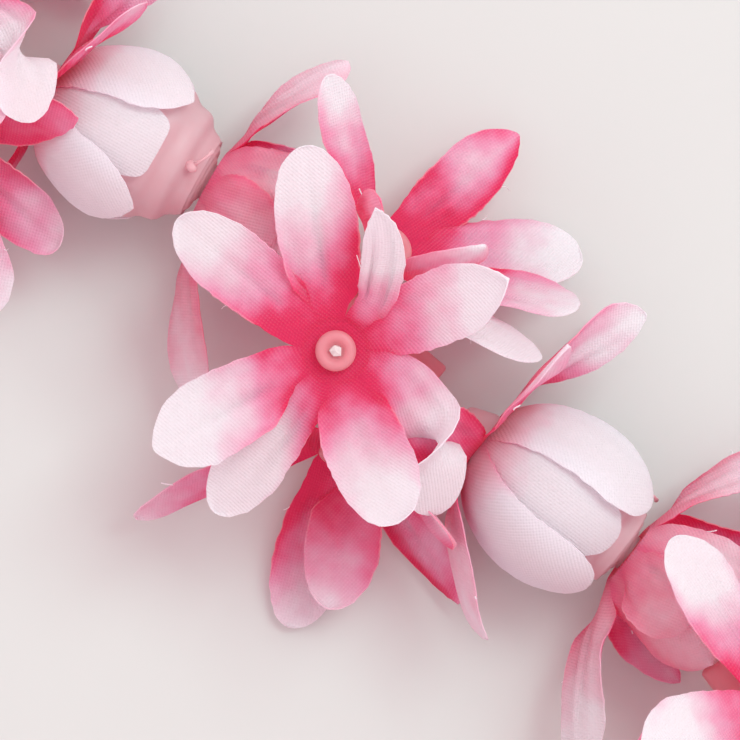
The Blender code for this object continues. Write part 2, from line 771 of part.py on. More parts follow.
def build():
    """The whole lei."""
    for old in list(bpy.data.objects):
        bpy.data.objects.remove(old)
    lei = bpy.data.collections.new("lei")
    scratch = bpy.data.collections.new("pieces_to_join")
    bpy.context.scene.collection.children.link(lei)
    bpy.context.scene.collection.children.link(scratch)
    cloth = material("pale pink cloth", (0.84, 0.55, 0.64), 0.8)
    deep_cloth = material("deep pink cloth", (0.78, 0.25, 0.38), 0.8)
    spray_cloth = material("pink cloth", (0.82, 0.4, 0.52), 0.8)
    moulded = material("clear pink plastic", (0.8, 0.45, 0.5), 0.35)
    thread = material("white cord", (0.85, 0.82, 0.8), 0.7)

    blossom_frames, sleeve_frames, cord, bases, mouths, sprays = lay_out()
    for repeat in range(REPEATS):
        blossom = star_place(blossom_frames[repeat], Vector((blossom_base(), 0, 0)), FORWARD, UP)
        bell_object(f"bell_{repeat}", blossom, moulded, lei)
        star_object(f"blossom_petals_{repeat}", bases[repeat], RING_HOLE, cloth, lei)
        star_object(f"mouth_star_{repeat}", mouths[repeat], RING_HOLE, deep_cloth, lei)
        spray_object(f"spray_{repeat}", sleeve_frames[repeat], sprays[repeat], spray_cloth, lei, scratch)
    cord_object(cord, thread, lei)
    bpy.data.collections.remove(scratch)


build()
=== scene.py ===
"""The looks of the cloth flower lei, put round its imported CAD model.

The petals are laid out as the model lays them out, with the same draws, and each gets its full cloth. Cup and
stars are stamped from dyed cloth, the bells and the stems are moulded, and the cord has three strands.
"""

import functools
import json
import math
import random
from collections import namedtuple

import bmesh
import bpy
from bpy.props import FloatProperty, FloatVectorProperty, IntProperty, PointerProperty
from mathutils import Matrix, Vector, noise
from mathutils.bvhtree import BVHTree

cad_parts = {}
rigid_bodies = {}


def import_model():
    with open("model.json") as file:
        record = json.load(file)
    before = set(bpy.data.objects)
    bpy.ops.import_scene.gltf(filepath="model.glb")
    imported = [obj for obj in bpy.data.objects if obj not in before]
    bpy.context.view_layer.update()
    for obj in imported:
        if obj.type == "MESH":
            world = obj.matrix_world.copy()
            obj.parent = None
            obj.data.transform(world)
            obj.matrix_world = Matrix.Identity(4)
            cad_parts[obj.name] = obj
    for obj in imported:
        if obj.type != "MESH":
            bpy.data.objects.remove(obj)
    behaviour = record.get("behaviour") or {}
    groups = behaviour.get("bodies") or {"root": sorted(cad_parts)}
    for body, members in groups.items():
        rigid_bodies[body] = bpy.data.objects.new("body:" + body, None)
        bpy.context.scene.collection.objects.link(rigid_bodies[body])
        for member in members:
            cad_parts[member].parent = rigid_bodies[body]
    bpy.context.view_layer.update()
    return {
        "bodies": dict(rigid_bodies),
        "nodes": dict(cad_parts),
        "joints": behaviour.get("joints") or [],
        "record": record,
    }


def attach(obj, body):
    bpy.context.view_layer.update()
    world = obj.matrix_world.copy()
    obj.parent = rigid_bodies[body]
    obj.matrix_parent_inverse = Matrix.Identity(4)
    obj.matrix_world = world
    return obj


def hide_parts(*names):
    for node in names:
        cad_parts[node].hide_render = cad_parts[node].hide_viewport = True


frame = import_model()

bl_info = {
    "name": "Cloth Flower Lei",
    "version": (1, 0, 0),
    "blender": (4, 5, 0),
    "location": "3D View > Sidebar > Lei",
    "description": "Dresses the strung lei in stamped cloth petals, moulded bells and stems, and its cord",
    "category": "Object",
}

MM = 0.001
UP = Vector((0, 0, 1))
FORWARD = Vector((1, 0, 0))
WELD = 0.01 * MM

# The loop that the cord follows, clockwise seen from above
REPEATS = 10
REPEAT_LENGTH = 90 * MM
LOOP_LENGTH = REPEATS * REPEAT_LENGTH
FLATTENING = 0.42
LOOP_STEPS = 1800
FIRST_BASE = -68.8 * MM
CORD_HEIGHT = 14.2 * MM
CORD_RADIUS = 1.0 * MM
CORD_LONG_BEND = 4
CORD_SHORT_BEND = 2

# The blossom: distances run along its axis from its base
BLOSSOM_FROM = -5 * MM
BLOSSOM_TO = 34 * MM
BLOSSOM_YAW = math.radians(6)
MOUTH_STAR_AT = 29.8 * MM
TUBE_RADIUS = 3.1 * MM
BORE_RADIUS = 1.5 * MM
TUBE_SIDES = 10

# The bell: a round skirt on the blossom's tube
BELL_RADIUS = 12.4 * MM
BELL_MIDDLE = 15 * MM
BELL_BELOW = 12 * MM
BELL_BEYOND = 15.5 * MM
BELL_START = math.radians(15)
BELL_MOUTH = math.radians(147)
BELL_SEGMENTS = 4

# The spray: distances run along the cord from the blossom's base
SLEEVE_FROM = 52 * MM
SLEEVE_TO = 78 * MM
BRANCH_RADIUS = 1.8 * MM
BRANCH_START = 2.2 * MM
BRANCH_STEPS = 3
BRANCH_FOOT_RANGE = 9 * MM
BRANCH_FIRST_PULL = 5 * MM
BRANCH_LAST_PULL = 6 * MM
SOCKET_RADIUS = 3.2 * MM
SOCKET_HOLE = 1.6 * MM
SOCKET_BELOW = 4 * MM
BRANCH_IN_SOCKET = 1.2 * MM
SOCKET_ABOVE = 2.4 * MM

# Petals
STAR_LENGTH = 28.0 * MM
STAR_HALF_WIDTH = 6.3 * MM
STAR_HUB = 4.8 * MM
CUP_LENGTH = 28.5 * MM
CUP_HALF_WIDTH = 4.9 * MM
RING_HUB = 5.6 * MM
BLADE = 1.2 * MM
WIDEST = 0.6
ROOT_SHARE = 0.25
LINE_STEPS = 24
CUP_LIFT = math.radians(105)

# A petal is tried in ever wider variations until it clears what is already there
TRIALS = 400
TRIAL_STEPS = (5, 9, 13, 17, 21, 23)
TRIAL_MARGIN = 0.4 * MM
TRIAL_LIFT = math.radians(75)
TRIAL_SWEEP = math.radians(70)
TRIAL_ROOT_SHARE = 0.6
TRIAL_TIP_EXTRA = 0.3
TRIAL_SHORTENING = 0.22
FLOOR_GAP = 0.1 * MM

# The petals of each star, one row each: azimuth, sweep, root lift, tip lift and roll in degrees, then length
# and width against the common petal. Azimuth 0 is up, or forward along the cord on the star that faces up.
CUP = [
    (0, 0, 36, 126, 0, 0.96, 1),
    (45, 0, 36, 122, 0, 1, 1),
    (90, 0, 36, 126, 0, 0.96, 1),
    (135, 0, 36, 124, 0, 1, 1),
    (180, 0, 36, 126, 0, 1, 1),
    (-135, 0, 36, 124, 0, 1, 1),
    (-90, 0, 36, 126, 0, 0.96, 1),
    (-45, 0, 36, 122, 0, 1, 1),
]
BASE_STAR = [
    (-67.5, -35, 8, 26, 60, 1.02, 0.95),
    (67.5, 40, 10, 46, 45, 1.12, 0.8),
    (-22.5, -40, 5, 0, 20, 0.95, 0.75),
    (22.5, -10, 0, -45, 0, 0.7, 1),
    (-112.5, 15, 5, 10, 0, 0.9, 0.85),
    (112.5, -10, 5, -20, 0, 0.85, 0.85),
]
MOUTH_STAR = [
    (-95, 0, 14, 34, -60, 0.88, 0.75),
    (88, 8, 20, 42, 60, 1.12, 0.92),
    (15, -6, 40, 112, 0, 0.55, 1.05),
    (52, 8, 48, 76, 20, 0.85, 0.85),
    (-42, 5, 48, 72, -20, 0.85, 0.85),
    (-135, 10, 20, 55, 0, 0.95, 0.9),
    (132, -10, 20, 55, 0, 0.95, 0.9),
    (178, 0, 38, 96, 0, 0.9, 0.85),
]
FACE_STAR = [
    (16, -78, 16, -24, 0, 1.1, 1),
    (64, 0, 20, 28, 0, 0.95, 1),
    (92, 62, 34, 50, 0, 0.95, 0.6),
    (139, 0, 14, 2, 0, 1, 1.05),
    (180, 0, 12, 0, 0, 1, 1.05),
    (-111, 0, 14, 6, 0, 1, 1.1),
    (-86, 0, -6, -12, 0, 1, 1),
    (-33, 0, 14, 6, 0, 0.92, 1.15),
]
OUTER_STAR = [
    (-80, 0, 32, 24, 25, 0.95, 0.9),
    (143, 0, 32, 26, 0, 1.05, 1.15),
    (110, 0, 34, 28, 0, 1.05, 1),
    (78, 0, 30, 34, 0, 1, 0.95),
    (40, 0, 32, 40, 0, 0.9, 0.9),
    (-172, 0, 30, 55, 0, 0.95, 0.9),
    (-20, 0, 30, 30, 0, 0.8, 0.9),
]
INNER_STAR = [
    (178, 0, 50, 66, 0, 1.05, 1),
    (-150, 0, 42, 46, 0, 1, 1.1),
    (-118, 0, 34, 34, 0, 1.02, 1),
    (108, 0, 30, 36, 0, 1.12, 0.8),
    (-62, 0, 30, 24, 0, 0.9, 0.9),
    (55, 0, 30, 24, 0, 0.9, 0.9),
]
LOOSE_CUP_OPENING = math.radians(12)
LOOSE_CUP_LENGTH = 0.86
TIGHT_CUP_LENGTH = 1.09

# Each star of the spray: its petals, hub, facing direction and the side of azimuth 0, in the sleeve's frame
SPRAY = [
    ("face", FACE_STAR, Vector((-2.3, -6.5, 14.4)) * MM, Vector((0.03, -0.04, 1)), FORWARD),
    ("outer", OUTER_STAR, Vector((-6.5, 11.3, 3.4)) * MM, Vector((0.2, 0.79, 0.57)), UP),
    ("inner", INNER_STAR, Vector((8.3, -17.9, -3.6)) * MM, Vector((0.4, -0.82, 0.42)), UP),
]
PLAIN_REPEATS = 2
SPRAY_ROLLS = (0, 38)
SPRAY_ROLL_RANGE = (-6, 34)
SEED = 12
VARIED_SWEEP = math.radians(7)
VARIED_ROOT = math.radians(6)
VARIED_TIP = math.radians(12)
VARIED_ROLL = math.radians(9)
VARIED_LENGTH = 0.05

Petal = namedtuple("Petal", "azimuth sweep root_lift tip_lift roll length half_width")
Star = namedtuple("Star", "place hub petals")
Obstacle = namedtuple("Obstacle", "owner whole outer centre reach")
Layout = namedtuple("Layout", "sleeves cord bases mouths sprays")


def loop_points():
    """Points along the loop, one for each step of its length."""
    step = LOOP_LENGTH / LOOP_STEPS
    point = Vector((0, 0, 0))
    points = []
    for index in range(LOOP_STEPS):
        turn = math.tau * (index + 0.5) / LOOP_STEPS
        heading = FLATTENING * math.sin(2 * turn) - turn
        points.append(point.copy())
        point += step * Vector((math.cos(heading), math.sin(heading), 0))
    middle = sum(points, Vector((0, 0, 0))) / LOOP_STEPS
    return [each - middle + UP * CORD_HEIGHT for each in points]


def loop_point(points, along):
    """The point at a distance along the loop."""
    place = (along / LOOP_LENGTH) % 1 * LOOP_STEPS
    index = int(place)
    return points[index].lerp(points[(index + 1) % LOOP_STEPS], place - index)


def chord_frame(points, start, end, yaw):
    """A frame at the middle of a chord of the loop: X along it, Y out of the loop, Z up."""
    first = loop_point(points, start)
    last = loop_point(points, end)
    along = Matrix.Rotation(yaw, 3, "Z") @ (last - first).normalized()
    out = UP.cross(along)
    frame = Matrix((along, out, UP)).transposed().to_4x4()
    frame.translation = (first + last) / 2
    return frame


def star_place(frame, centre, facing, top):
    """A star's own frame: Z is where it faces, and X, its azimuth 0, lies on the side of top."""
    axis = facing.normalized()
    first = (top - axis * top.dot(axis)).normalized()
    place = Matrix((first, axis.cross(first), axis)).transposed().to_4x4()
    place.translation = centre
    return frame @ place


def around(azimuth):
    """The direction of an azimuth in a star's own plane."""
    return Vector((math.cos(azimuth), math.sin(azimuth), 0))


def bend(first, first_pull, last_pull, last, shares):
    """Points at shares of a smooth bend between two points, each with a point that pulls the bend."""
    points = []
    for share in shares:
        middle = first_pull.lerp(last_pull, share)
        near = first.lerp(first_pull, share).lerp(middle, share)
        far = middle.lerp(last_pull.lerp(last, share), share)
        points.append(near.lerp(far, share))
    return points


def rolled(side, back, angle):
    """A sideways and a backward direction, turned about the line that they belong to."""
    return side * math.cos(angle) + back * math.sin(angle), back * math.cos(angle) - side * math.sin(angle)


def petal_line(place, hub, petal):
    """Centre, sideways and backward directions along a petal, from its root to its tip."""
    turn = place.to_3x3()
    point = hub * around(petal.azimuth)
    line = []
    for step in range(LINE_STEPS + 1):
        share = step / LINE_STEPS
        azimuth = petal.azimuth + petal.sweep * share
        lift = petal.root_lift + (petal.tip_lift - petal.root_lift) * share
        out = around(azimuth)
        side = UP.cross(out)
        along = out * math.cos(lift) + UP * math.sin(lift)
        back = out * math.sin(lift) - UP * math.cos(lift)
        side, back = rolled(side, back, petal.roll * share)
        line.append((place @ point, turn @ side, turn @ back))
        point = point + along * petal.length / LINE_STEPS
    return line


def width_share(step):
    """A petal's width against its greatest, narrow at the root and rounded at the tip."""
    share = step / LINE_STEPS
    if share < WIDEST:
        return ROOT_SHARE + (1 - ROOT_SHARE) * math.sin(math.pi / 2 * share / WIDEST)
    return math.sqrt(max(0, 1 - ((share - WIDEST) / (1 - WIDEST)) ** 2))


def blade_tree(line, half_width, steps):
    """A search tree of a petal made a little thicker and wider than it is."""
    corners = []
    for step in steps:
        centre, side, back = line[step]
        reach = side * (half_width * width_share(step) + TRIAL_MARGIN)
        front = back * TRIAL_MARGIN
        corners += [centre - reach, centre - front, centre + reach, centre + back * (BLADE + TRIAL_MARGIN)]
    return BVHTree.FromPolygons(corners, tube_faces(len(steps), 4))


def petal_obstacle(owner, line, petal):
    """A petal as an obstacle, whole and without its root."""
    whole = blade_tree(line, petal.half_width, (0,) + TRIAL_STEPS)
    outer = blade_tree(line, petal.half_width, TRIAL_STEPS)
    return Obstacle(owner, whole, outer, line[LINE_STEPS // 2][0], petal.length / 2 + petal.half_width)


def tube_faces(rings, sides):
    """The faces of a tube given as rings of corners."""
    faces = []
    for ring in range(rings - 1):
        for side in range(sides):
            following = (side + 1) % sides
            first = ring * sides
            faces.append((first + side, first + following, first + sides + following, first + sides + side))
    return faces


def ring(along, radius):
    """Points round the X axis, at a distance along it."""
    angles = [math.tau * side / TUBE_SIDES for side in range(TUBE_SIDES)]
    return [Vector((along, radius * math.cos(angle), radius * math.sin(angle))) for angle in angles]


def round_tree(frame, profile):
    """A search tree of a round body, given as distances along the frame's X and radii."""
    corners = [frame @ point for along, radius in profile for point in ring(along, radius)]
    return BVHTree.FromPolygons(corners, tube_faces(len(profile), TUBE_SIDES))


def lowest(line, half_width):
    """The lowest point of a petal."""
    low = line[-1][0].z
    for step in range(0, LINE_STEPS + 1, 2):
        centre, side, back = line[step]
        reach = abs(side.z) * half_width * width_share(step)
        low = min(low, centre.z - reach, centre.z + back.z * BLADE)
    return low


def settle(place, hub, wish, owner, carriers, obstacles, draw):
    """The first variation of a petal that touches nothing placed before it, or None."""
    for trial in range(TRIALS):
        spread = trial / TRIALS
        swing = draw.uniform(-1, 1) * spread
        lift = draw.uniform(-1, 1) * spread * TRIAL_LIFT
        petal = wish._replace(
            sweep=wish.sweep + swing * TRIAL_SWEEP,
            root_lift=wish.root_lift + lift * TRIAL_ROOT_SHARE,
            tip_lift=wish.tip_lift + lift + draw.uniform(-1, 1) * spread * TRIAL_TIP_EXTRA,
            length=wish.length * (1 - spread * TRIAL_SHORTENING),
        )
        line = petal_line(place, hub, petal)
        if lowest(line, petal.half_width) < FLOOR_GAP:
            continue
        blade = petal_obstacle(owner, line, petal)
        if clear_of(obstacles, carriers, blade):
            obstacles.append(blade)
            return petal
    return None


def clear_of(obstacles, carriers, blade):
    """Whether a petal clears every obstacle, its own star and carriers being met beyond its root only."""
    for other in obstacles:
        if (other.centre - blade.centre).length > other.reach + blade.reach:
            continue
        if other.owner == blade.owner:
            touching = blade.outer.overlap(other.outer)
        elif other.owner in carriers:
            touching = blade.outer.overlap(other.whole)
        else:
            touching = blade.whole.overlap(other.whole)
        if touching:
            return False
    return True


def varied(draw, repeat, petal):
    """A petal varied a little, except in the two repeats that keep the pattern as it is."""
    loose = 0 if repeat < PLAIN_REPEATS else 1
    return petal._replace(
        sweep=petal.sweep + loose * draw.uniform(-VARIED_SWEEP, VARIED_SWEEP),
        root_lift=petal.root_lift + loose * draw.uniform(-VARIED_ROOT, VARIED_ROOT),
        tip_lift=petal.tip_lift + loose * draw.uniform(-VARIED_TIP, VARIED_TIP),
        roll=petal.roll + loose * draw.uniform(-VARIED_ROLL, VARIED_ROLL),
        length=petal.length * (1 + loose * draw.uniform(-VARIED_LENGTH, VARIED_LENGTH)),
    )


def wished(petals, length, half_width):
    """Petals from rows of azimuth, sweep, root lift, tip lift and roll in degrees, and relative sizes."""
    return [
        Petal(*(math.radians(angle) for angle in row[:5]), length * row[5], half_width * row[6])
        for row in petals
    ]


def cup_petals(repeat):
    """The cup's petals: every other cup is tight. The rest are short and loose but for the lowest petal."""
    petals = wished(CUP, CUP_LENGTH, CUP_HALF_WIDTH)
    if repeat % 2:
        return [reshaped(petal, TIGHT_CUP_LENGTH, 0) for petal in petals]
    return [
        petal if petal.azimuth == math.pi else reshaped(petal, LOOSE_CUP_LENGTH, LOOSE_CUP_OPENING)
        for petal in petals
    ]


def reshaped(petal, longer, opening):
    """A cup petal made longer or shorter, and opened; a longer one goes on along the same curve."""
    curl = (petal.tip_lift - petal.root_lift) * max(1, longer)
    return petal._replace(tip_lift=petal.root_lift + curl - opening, length=petal.length * longer)


def spray_rolls(draw):
    """How far each spray is rolled about the cord."""
    rolls = [math.radians(roll) for roll in SPRAY_ROLLS]
    while len(rolls) < REPEATS:
        rolls.append(math.radians(draw.uniform(*SPRAY_ROLL_RANGE)))
    return rolls


def lay_stars(draw, name, rows, hub, places, obstacles):
    """A star in each repeat, its petals settled one by one; a petal that finds no room is left out."""
    wishes = wished(rows, STAR_LENGTH, STAR_HALF_WIDTH)
    stars = []
    for repeat, place in enumerate(places):
        carriers = [("bell", repeat), "cord"] if hub == RING_HUB else [("stem", repeat)]
        petals = []
        for wish in wishes:
            wish = varied(draw, repeat, wish)
            petals.append(settle(place, hub, wish, (name, repeat), carriers, obstacles, draw))
        stars.append(Star(place, hub, sorted(petal for petal in petals if petal)))
    return stars


def bell_turns(rows):
    """Turns of the bell's skirt from its start to its mouth."""
    return [BELL_START + (BELL_MOUTH - BELL_START) * row / rows for row in range(rows + 1)]


def bell_wall(turn, swell=1):
    """A radius of the bell's skirt and its distance from the base."""
    height = BELL_BELOW if math.cos(turn) > 0 else BELL_BEYOND
    return BELL_RADIUS * math.sin(turn) * swell, BELL_MIDDLE - height * math.cos(turn) * swell


def blossom_base():
    """Where the blossom's base lies along its frame, whose origin is the tube's middle."""
    return -(BLOSSOM_TO + BLOSSOM_FROM) / 2


def branch_line(hub, facing, steps=BRANCH_STEPS):
    """A branch's curve in the sleeve's frame, from the sleeve's wall to the socket behind the star."""
    foot = Vector((max(-BRANCH_FOOT_RANGE, min(BRANCH_FOOT_RANGE, hub.x / 2)), 0, 0))
    away = Vector((0, hub.y, hub.z)).normalized()
    axis = facing.normalized()
    first = foot + away * BRANCH_START
    last = hub - axis * (SOCKET_BELOW - BRANCH_IN_SOCKET)
    first_pull = first + away * BRANCH_FIRST_PULL
    last_pull = last - axis * BRANCH_LAST_PULL
    shares = [step / steps for step in range(steps + 1)]
    return bend(first, first_pull, last_pull, last, shares)


def tube_tree(points, radius):
    """A search tree of a tube through a few points, each stretch taken on its own."""
    corners = []
    faces = []
    for first, last in zip(points, points[1:]):
        turn = (last - first).to_track_quat("X", "Z").to_matrix()
        for end in (first, last):
            corners += [end + turn @ point for point in ring(0, radius)]
        start = len(corners) - 2 * TUBE_SIDES
        faces += [[corner + start for corner in face] for face in tube_faces(2, TUBE_SIDES)]
    return BVHTree.FromPolygons(corners, faces)


def body_obstacle(owner, tree, centre, reach):
    """A moulded piece or a stretch of cord as an obstacle."""
    return Obstacle(owner, tree, tree, centre, reach)


@functools.cache
def lay_out():
    """Everything's place, worked out once: the sleeves, the cord's points and every star."""
    draw = random.Random(SEED)
    points = loop_points()
    blossom_frames = []
    sleeve_frames = []
    for repeat, roll in enumerate(spray_rolls(draw)):
        base = FIRST_BASE + repeat * REPEAT_LENGTH
        blossom_frames.append(chord_frame(points, base + BLOSSOM_FROM, base + BLOSSOM_TO, BLOSSOM_YAW))
        sleeve = chord_frame(points, base + SLEEVE_FROM, base + SLEEVE_TO, 0)
        sleeve_frames.append(sleeve @ Matrix.Rotation(-roll, 4, "X"))
    cord = cord_points(blossom_frames, sleeve_frames)
    obstacles = []
    for repeat in range(REPEATS):
        add_bodies(obstacles, repeat, blossom_frames[repeat], sleeve_frames[repeat])
    obstacles += cord_obstacles(cord)

    ends = Vector((blossom_base(), 0, 0)), Vector((blossom_base() + MOUTH_STAR_AT, 0, 0))
    base_places, mouth_places = [
        [star_place(frame, end, FORWARD, UP) for frame in blossom_frames] for end in ends
    ]
    cups = [cup_petals(repeat) for repeat in range(REPEATS)]
    for repeat, place in enumerate(base_places):
        for petal in cups[repeat]:
            line = petal_line(place, RING_HUB, petal)
            obstacles.append(petal_obstacle(("base", repeat), line, petal))

    spray_stars = []
    for name, rows, hub, facing, top in SPRAY:
        places = [star_place(sleeve, hub, facing, top) for sleeve in sleeve_frames]
        spray_stars.append(lay_stars(draw, name, rows, STAR_HUB, places, obstacles))
    mouths = lay_stars(draw, "mouth", MOUTH_STAR, RING_HUB, mouth_places, obstacles)
    bases = lay_stars(draw, "base", BASE_STAR, RING_HUB, base_places, obstacles)
    bases = [star._replace(petals=sorted(star.petals + cup)) for star, cup in zip(bases, cups)]
    return Layout(sleeve_frames, cord, bases, mouths, list(zip(*spray_stars)))


def add_bodies(obstacles, repeat, blossom, sleeve):
    """The moulded pieces of a repeat as obstacles to the petals."""
    outline = [bell_wall(turn) for turn in bell_turns(BELL_SEGMENTS)]
    skirt = [(blossom_base() + along, radius) for radius, along in outline]
    tube = [(blossom_base() + BLOSSOM_FROM, TUBE_RADIUS), skirt[0]]
    bell = tube + skirt
    owner = ("bell", repeat)
    reach = (BLOSSOM_TO - BLOSSOM_FROM) / 2
    obstacles.append(body_obstacle(owner, round_tree(blossom, bell), blossom.translation, reach))
    end = [(blossom_base() + MOUTH_STAR_AT, TUBE_RADIUS), (blossom_base() + BLOSSOM_TO, TUBE_RADIUS)]
    obstacles.append(body_obstacle(owner, round_tree(blossom, end), blossom.translation, reach))
    half = (SLEEVE_TO - SLEEVE_FROM) / 2
    owner = ("stem", repeat)
    tree = round_tree(sleeve, [(-half, TUBE_RADIUS), (half, TUBE_RADIUS)])
    obstacles.append(body_obstacle(owner, tree, sleeve.translation, half))
    for _, _, hub, facing, _ in SPRAY:
        line = [sleeve @ point for point in branch_line(hub, facing)]
        tree = tube_tree(line, BRANCH_RADIUS)
        obstacles.append(body_obstacle(owner, tree, sleeve @ hub, hub.length))
        axis = facing.normalized()
        ends = [sleeve @ (hub - axis * SOCKET_BELOW), sleeve @ (hub + axis * SOCKET_ABOVE)]
        obstacles.append(body_obstacle(owner, tube_tree(ends, SOCKET_RADIUS), sleeve @ hub, SOCKET_BELOW))


def cord_obstacles(cord):
    """The cord as obstacles, one for each stretch between two of its points."""
    found = []
    for index, point in enumerate(cord):
        following = cord[(index + 1) % len(cord)]
        tree = tube_tree([point, following], CORD_RADIUS)
        found.append(body_obstacle("cord", tree, (point + following) / 2, (following - point).length / 2))
    return found


def cord_points(blossom_frames, sleeve_frames):
    """The cord's points: straight through each tube, and a smooth bend between one tube and the next."""
    runs = []
    for blossom, sleeve in zip(blossom_frames, sleeve_frames):
        runs.append((blossom, (BLOSSOM_TO - BLOSSOM_FROM) / 2, CORD_LONG_BEND))
        runs.append((sleeve, (SLEEVE_TO - SLEEVE_FROM) / 2, CORD_SHORT_BEND))
    points = []
    for index, (frame, half, steps) in enumerate(runs):
        following, next_half, _ = runs[(index + 1) % len(runs)]
        along = frame.to_3x3() @ FORWARD
        next_along = following.to_3x3() @ FORWARD
        start = frame.translation + along * half
        end = following.translation - next_along * next_half
        pull = (end - start).length / 3
        first = start + along * pull
        last = end - next_along * pull
        points += [frame.translation - along * half, start]
        points += bend(start, first, last, end, [step / steps for step in range(1, steps)])
    return points


# The cloth: the grid of a petal and of a hub, how far out the petals are one sheet, and loose threads
ACROSS = 12
ALONG = 30
HUB_SEGMENTS = 32
HUB_RINGS = 4
HUB_OVERLAP = 0.7 * MM
ONE_SHEET_TO = 0.12
APART_FROM = 0.36
WIDEST_SLIT = math.radians(50)
TURN_WITHIN = 0.33
CUP_WRAP_LEAST = 6 * MM
FLOOR_CLEARANCE = 0.3 * MM
THREADS_PER_STAR = 6
THREAD_STEPS = 8
THREAD_HALF_WIDTH = 0.05 * MM
THREAD_ROOTS = (0.3, 0.75)
THREAD_LENGTHS = (0.5, 2.2)
THREAD_CURL = 2.2
THREAD_DYE = 0.8

# What is drawn at random for each petal: shares of its length or width, and depths in millimetres
FULLNESS_RANGE = (0.94, 1.04)
WIDEST_RANGE = (0.52, 0.68)
SKEW_RANGE = (-0.1, 0.1)
POINTS = (0.8, 0.9, 1, 1.4)
CAMBER_RANGE = (-0.8, 1.0)
CREASE_RANGE = (0.3, 0.9)
RIPPLE_RANGE = (0.1, 0.5)
RIMS = (0, 0, 0.5, 1)
TONE_RANGE = (-0.16, 0.16)

# What all petals share
CLOTH_ROOT = 0.66
SHAPED_FROM = 0.25
RIPPLES = 1.6
CREASE_FADING = 1.2
EDGE_FROM = 0.3

# The dye: it fades along a petal, reaches further where the air brush leaned, and clings to the edges and
# to the rims of some tips
FADING = 0.5
BLUSH_DEPTH = 0.9
BLUSH_TO = 1.15
EDGE_DYE = 0.3
RIM_DEPTH = 0.3
RIM_FROM = 0.72
RIM_CURVE = 0.12

# The cups hold little dye and are cut alike; the loose ones end in slanted and pointed tips
CUP_TONE = 0.8
CUP_BLUSH = 0.3
CUP_LAYERS = (1.0 * MM, 0.25 * MM)
CUP_CREASE = 0.1 * MM
CUP_RIPPLE = 0.12 * MM
CUP_SLANTS = (-0.16, 0.2)
CUP_POINTS = (1.5, 0.35)

# How pale each star's petals are on the whole. The stars are dyed alike: the deeper pink of the stars that
# lie in the others' shade is painted shade, and the paleness of the face star in full light is painted light.
STAR_SHADE_TONES = {"face": 0.56, "outer": 0.25, "inner": 0.13, "mouth": 0.38, "base": 0.3}

# The petal that turns over, by star and azimuth: how far, from which share of its length, and how far its
# tip is bent aside. It is paler than the rest of its star.
TURNED_OVER = {("face", 16): (math.radians(-160), 0.4, -3 * MM)}
TURNED_TONE = 0.4

# Petals that lie with their pale backs up, by star and azimuth, and how full they are cut
BACKS_UP = {("face", 92): 1.0, ("face", -86): 0.95, ("outer", 78): 1.1}
BACK_TONE = 1.0

Cut = namedtuple(
    "Cut", "fullness widest skew point camber crease ripple phase slant layer wraps blush rim tone turned"
)

# The sockets of a mix of two colours
MIX_FIRST = 6
MIX_SECOND = 7
MIXED = 2

# The weave's height: its crowns, and how deep warp, weft and their crossings cut into it
WEAVE_CROWN = 1.3
WARP_DEPTH = -1.1
WEFT_DEPTH = -1.5
CROSSING = 0.35


def linear(code):
    """A hex colour as sRGB, turned linear and opaque."""
    channels = [int(code[start:start + 2], 16) / 255 for start in (0, 2, 4)]
    return (*(c / 12.92 if c <= 0.04045 else ((c + 0.055) / 1.055) ** 2.4 for c in channels), 1)


def colour(name, description, code):
    """A colour setting whose default is a hex colour."""
    return FloatVectorProperty(
        name=name, description=description, default=linear(code), min=0, max=1, size=4, subtype="COLOR"
    )


def length(name, description, default):
    """A length setting in metres."""
    return FloatProperty(
        name=name, description=description, default=default, min=0, unit="LENGTH", precision=5
    )


class LeiClothSettings(bpy.types.PropertyGroup):
    """The dyed cloth that the petals are stamped from."""

    thickness: length("Thickness", "How thick the stiffened cloth is", 0.2 * MM)
    thread: length("Thread spacing", "Distance from one thread of the weave to the next", 0.48 * MM)
    ragged: length("Ragged edge", "How far the cut edge strays", 0.15 * MM)
    fullness: FloatProperty(name="Fullness", description="Width of a petal against its solid", default=0.93)
    cup_fullness: FloatProperty(
        name="Cup fullness", description="Width of a cup petal against its solid", default=1.36
    )
    heart: colour("Heart dye", "Round the hub", "E03D77")
    root: colour("Root dye", "Where the petals part", "E64F86")
    middle: colour("Middle dye", "A third of the way out", "EE85B2")
    pale: colour("Pale dye", "Halfway out", "EEBBD8")
    fading: colour("Fading dye", "Two thirds of the way out", "F1E3EE")
    tip: colour("Tip", "Undyed cloth at the tips", "F8F7FB")
    glow_root: colour("Glow at the root", "Light that has come through dyed cloth", "FF588F")
    glow_middle: colour("Glow halfway", "Light that has come through pale cloth", "FDA2C7")
    glow_tip: colour("Glow at the tip", "Light that has come through undyed cloth", "FAF8FB")


class LeiPlasticSettings(bpy.types.PropertyGroup):
    """The clear pink plastic of the bells and the stems."""

    body: colour("Plastic", "Milky clear plastic, tinted pink", "F8C8D0")
    cloud: colour("Cloud", "Where the plastic is milkier", "F5DFE4")
    stem: colour("Stem", "Thicker plastic of the stems, where the tint adds up", "F3A0AD")
    stem_cloud: colour("Stem's cloud", "Where the stems are milkier", "F6B6BF")
    bell_steps: IntProperty(name="Steps round a bell", description="Faces round a bell", default=48, min=12)
    stem_sides: IntProperty(name="Sides of a stem", description="Faces round a stem", default=20, min=8)


class LeiCordSettings(bpy.types.PropertyGroup):
    """The cord that carries the lei."""

    strand: length("Strand radius", "Radius of each of the three strands", 0.52 * MM)
    turns: IntProperty(name="Turns", description="Turns of the strands round the whole loop", default=110)
    tint: colour("Cord", "Undyed nylon", "EFE6E2")


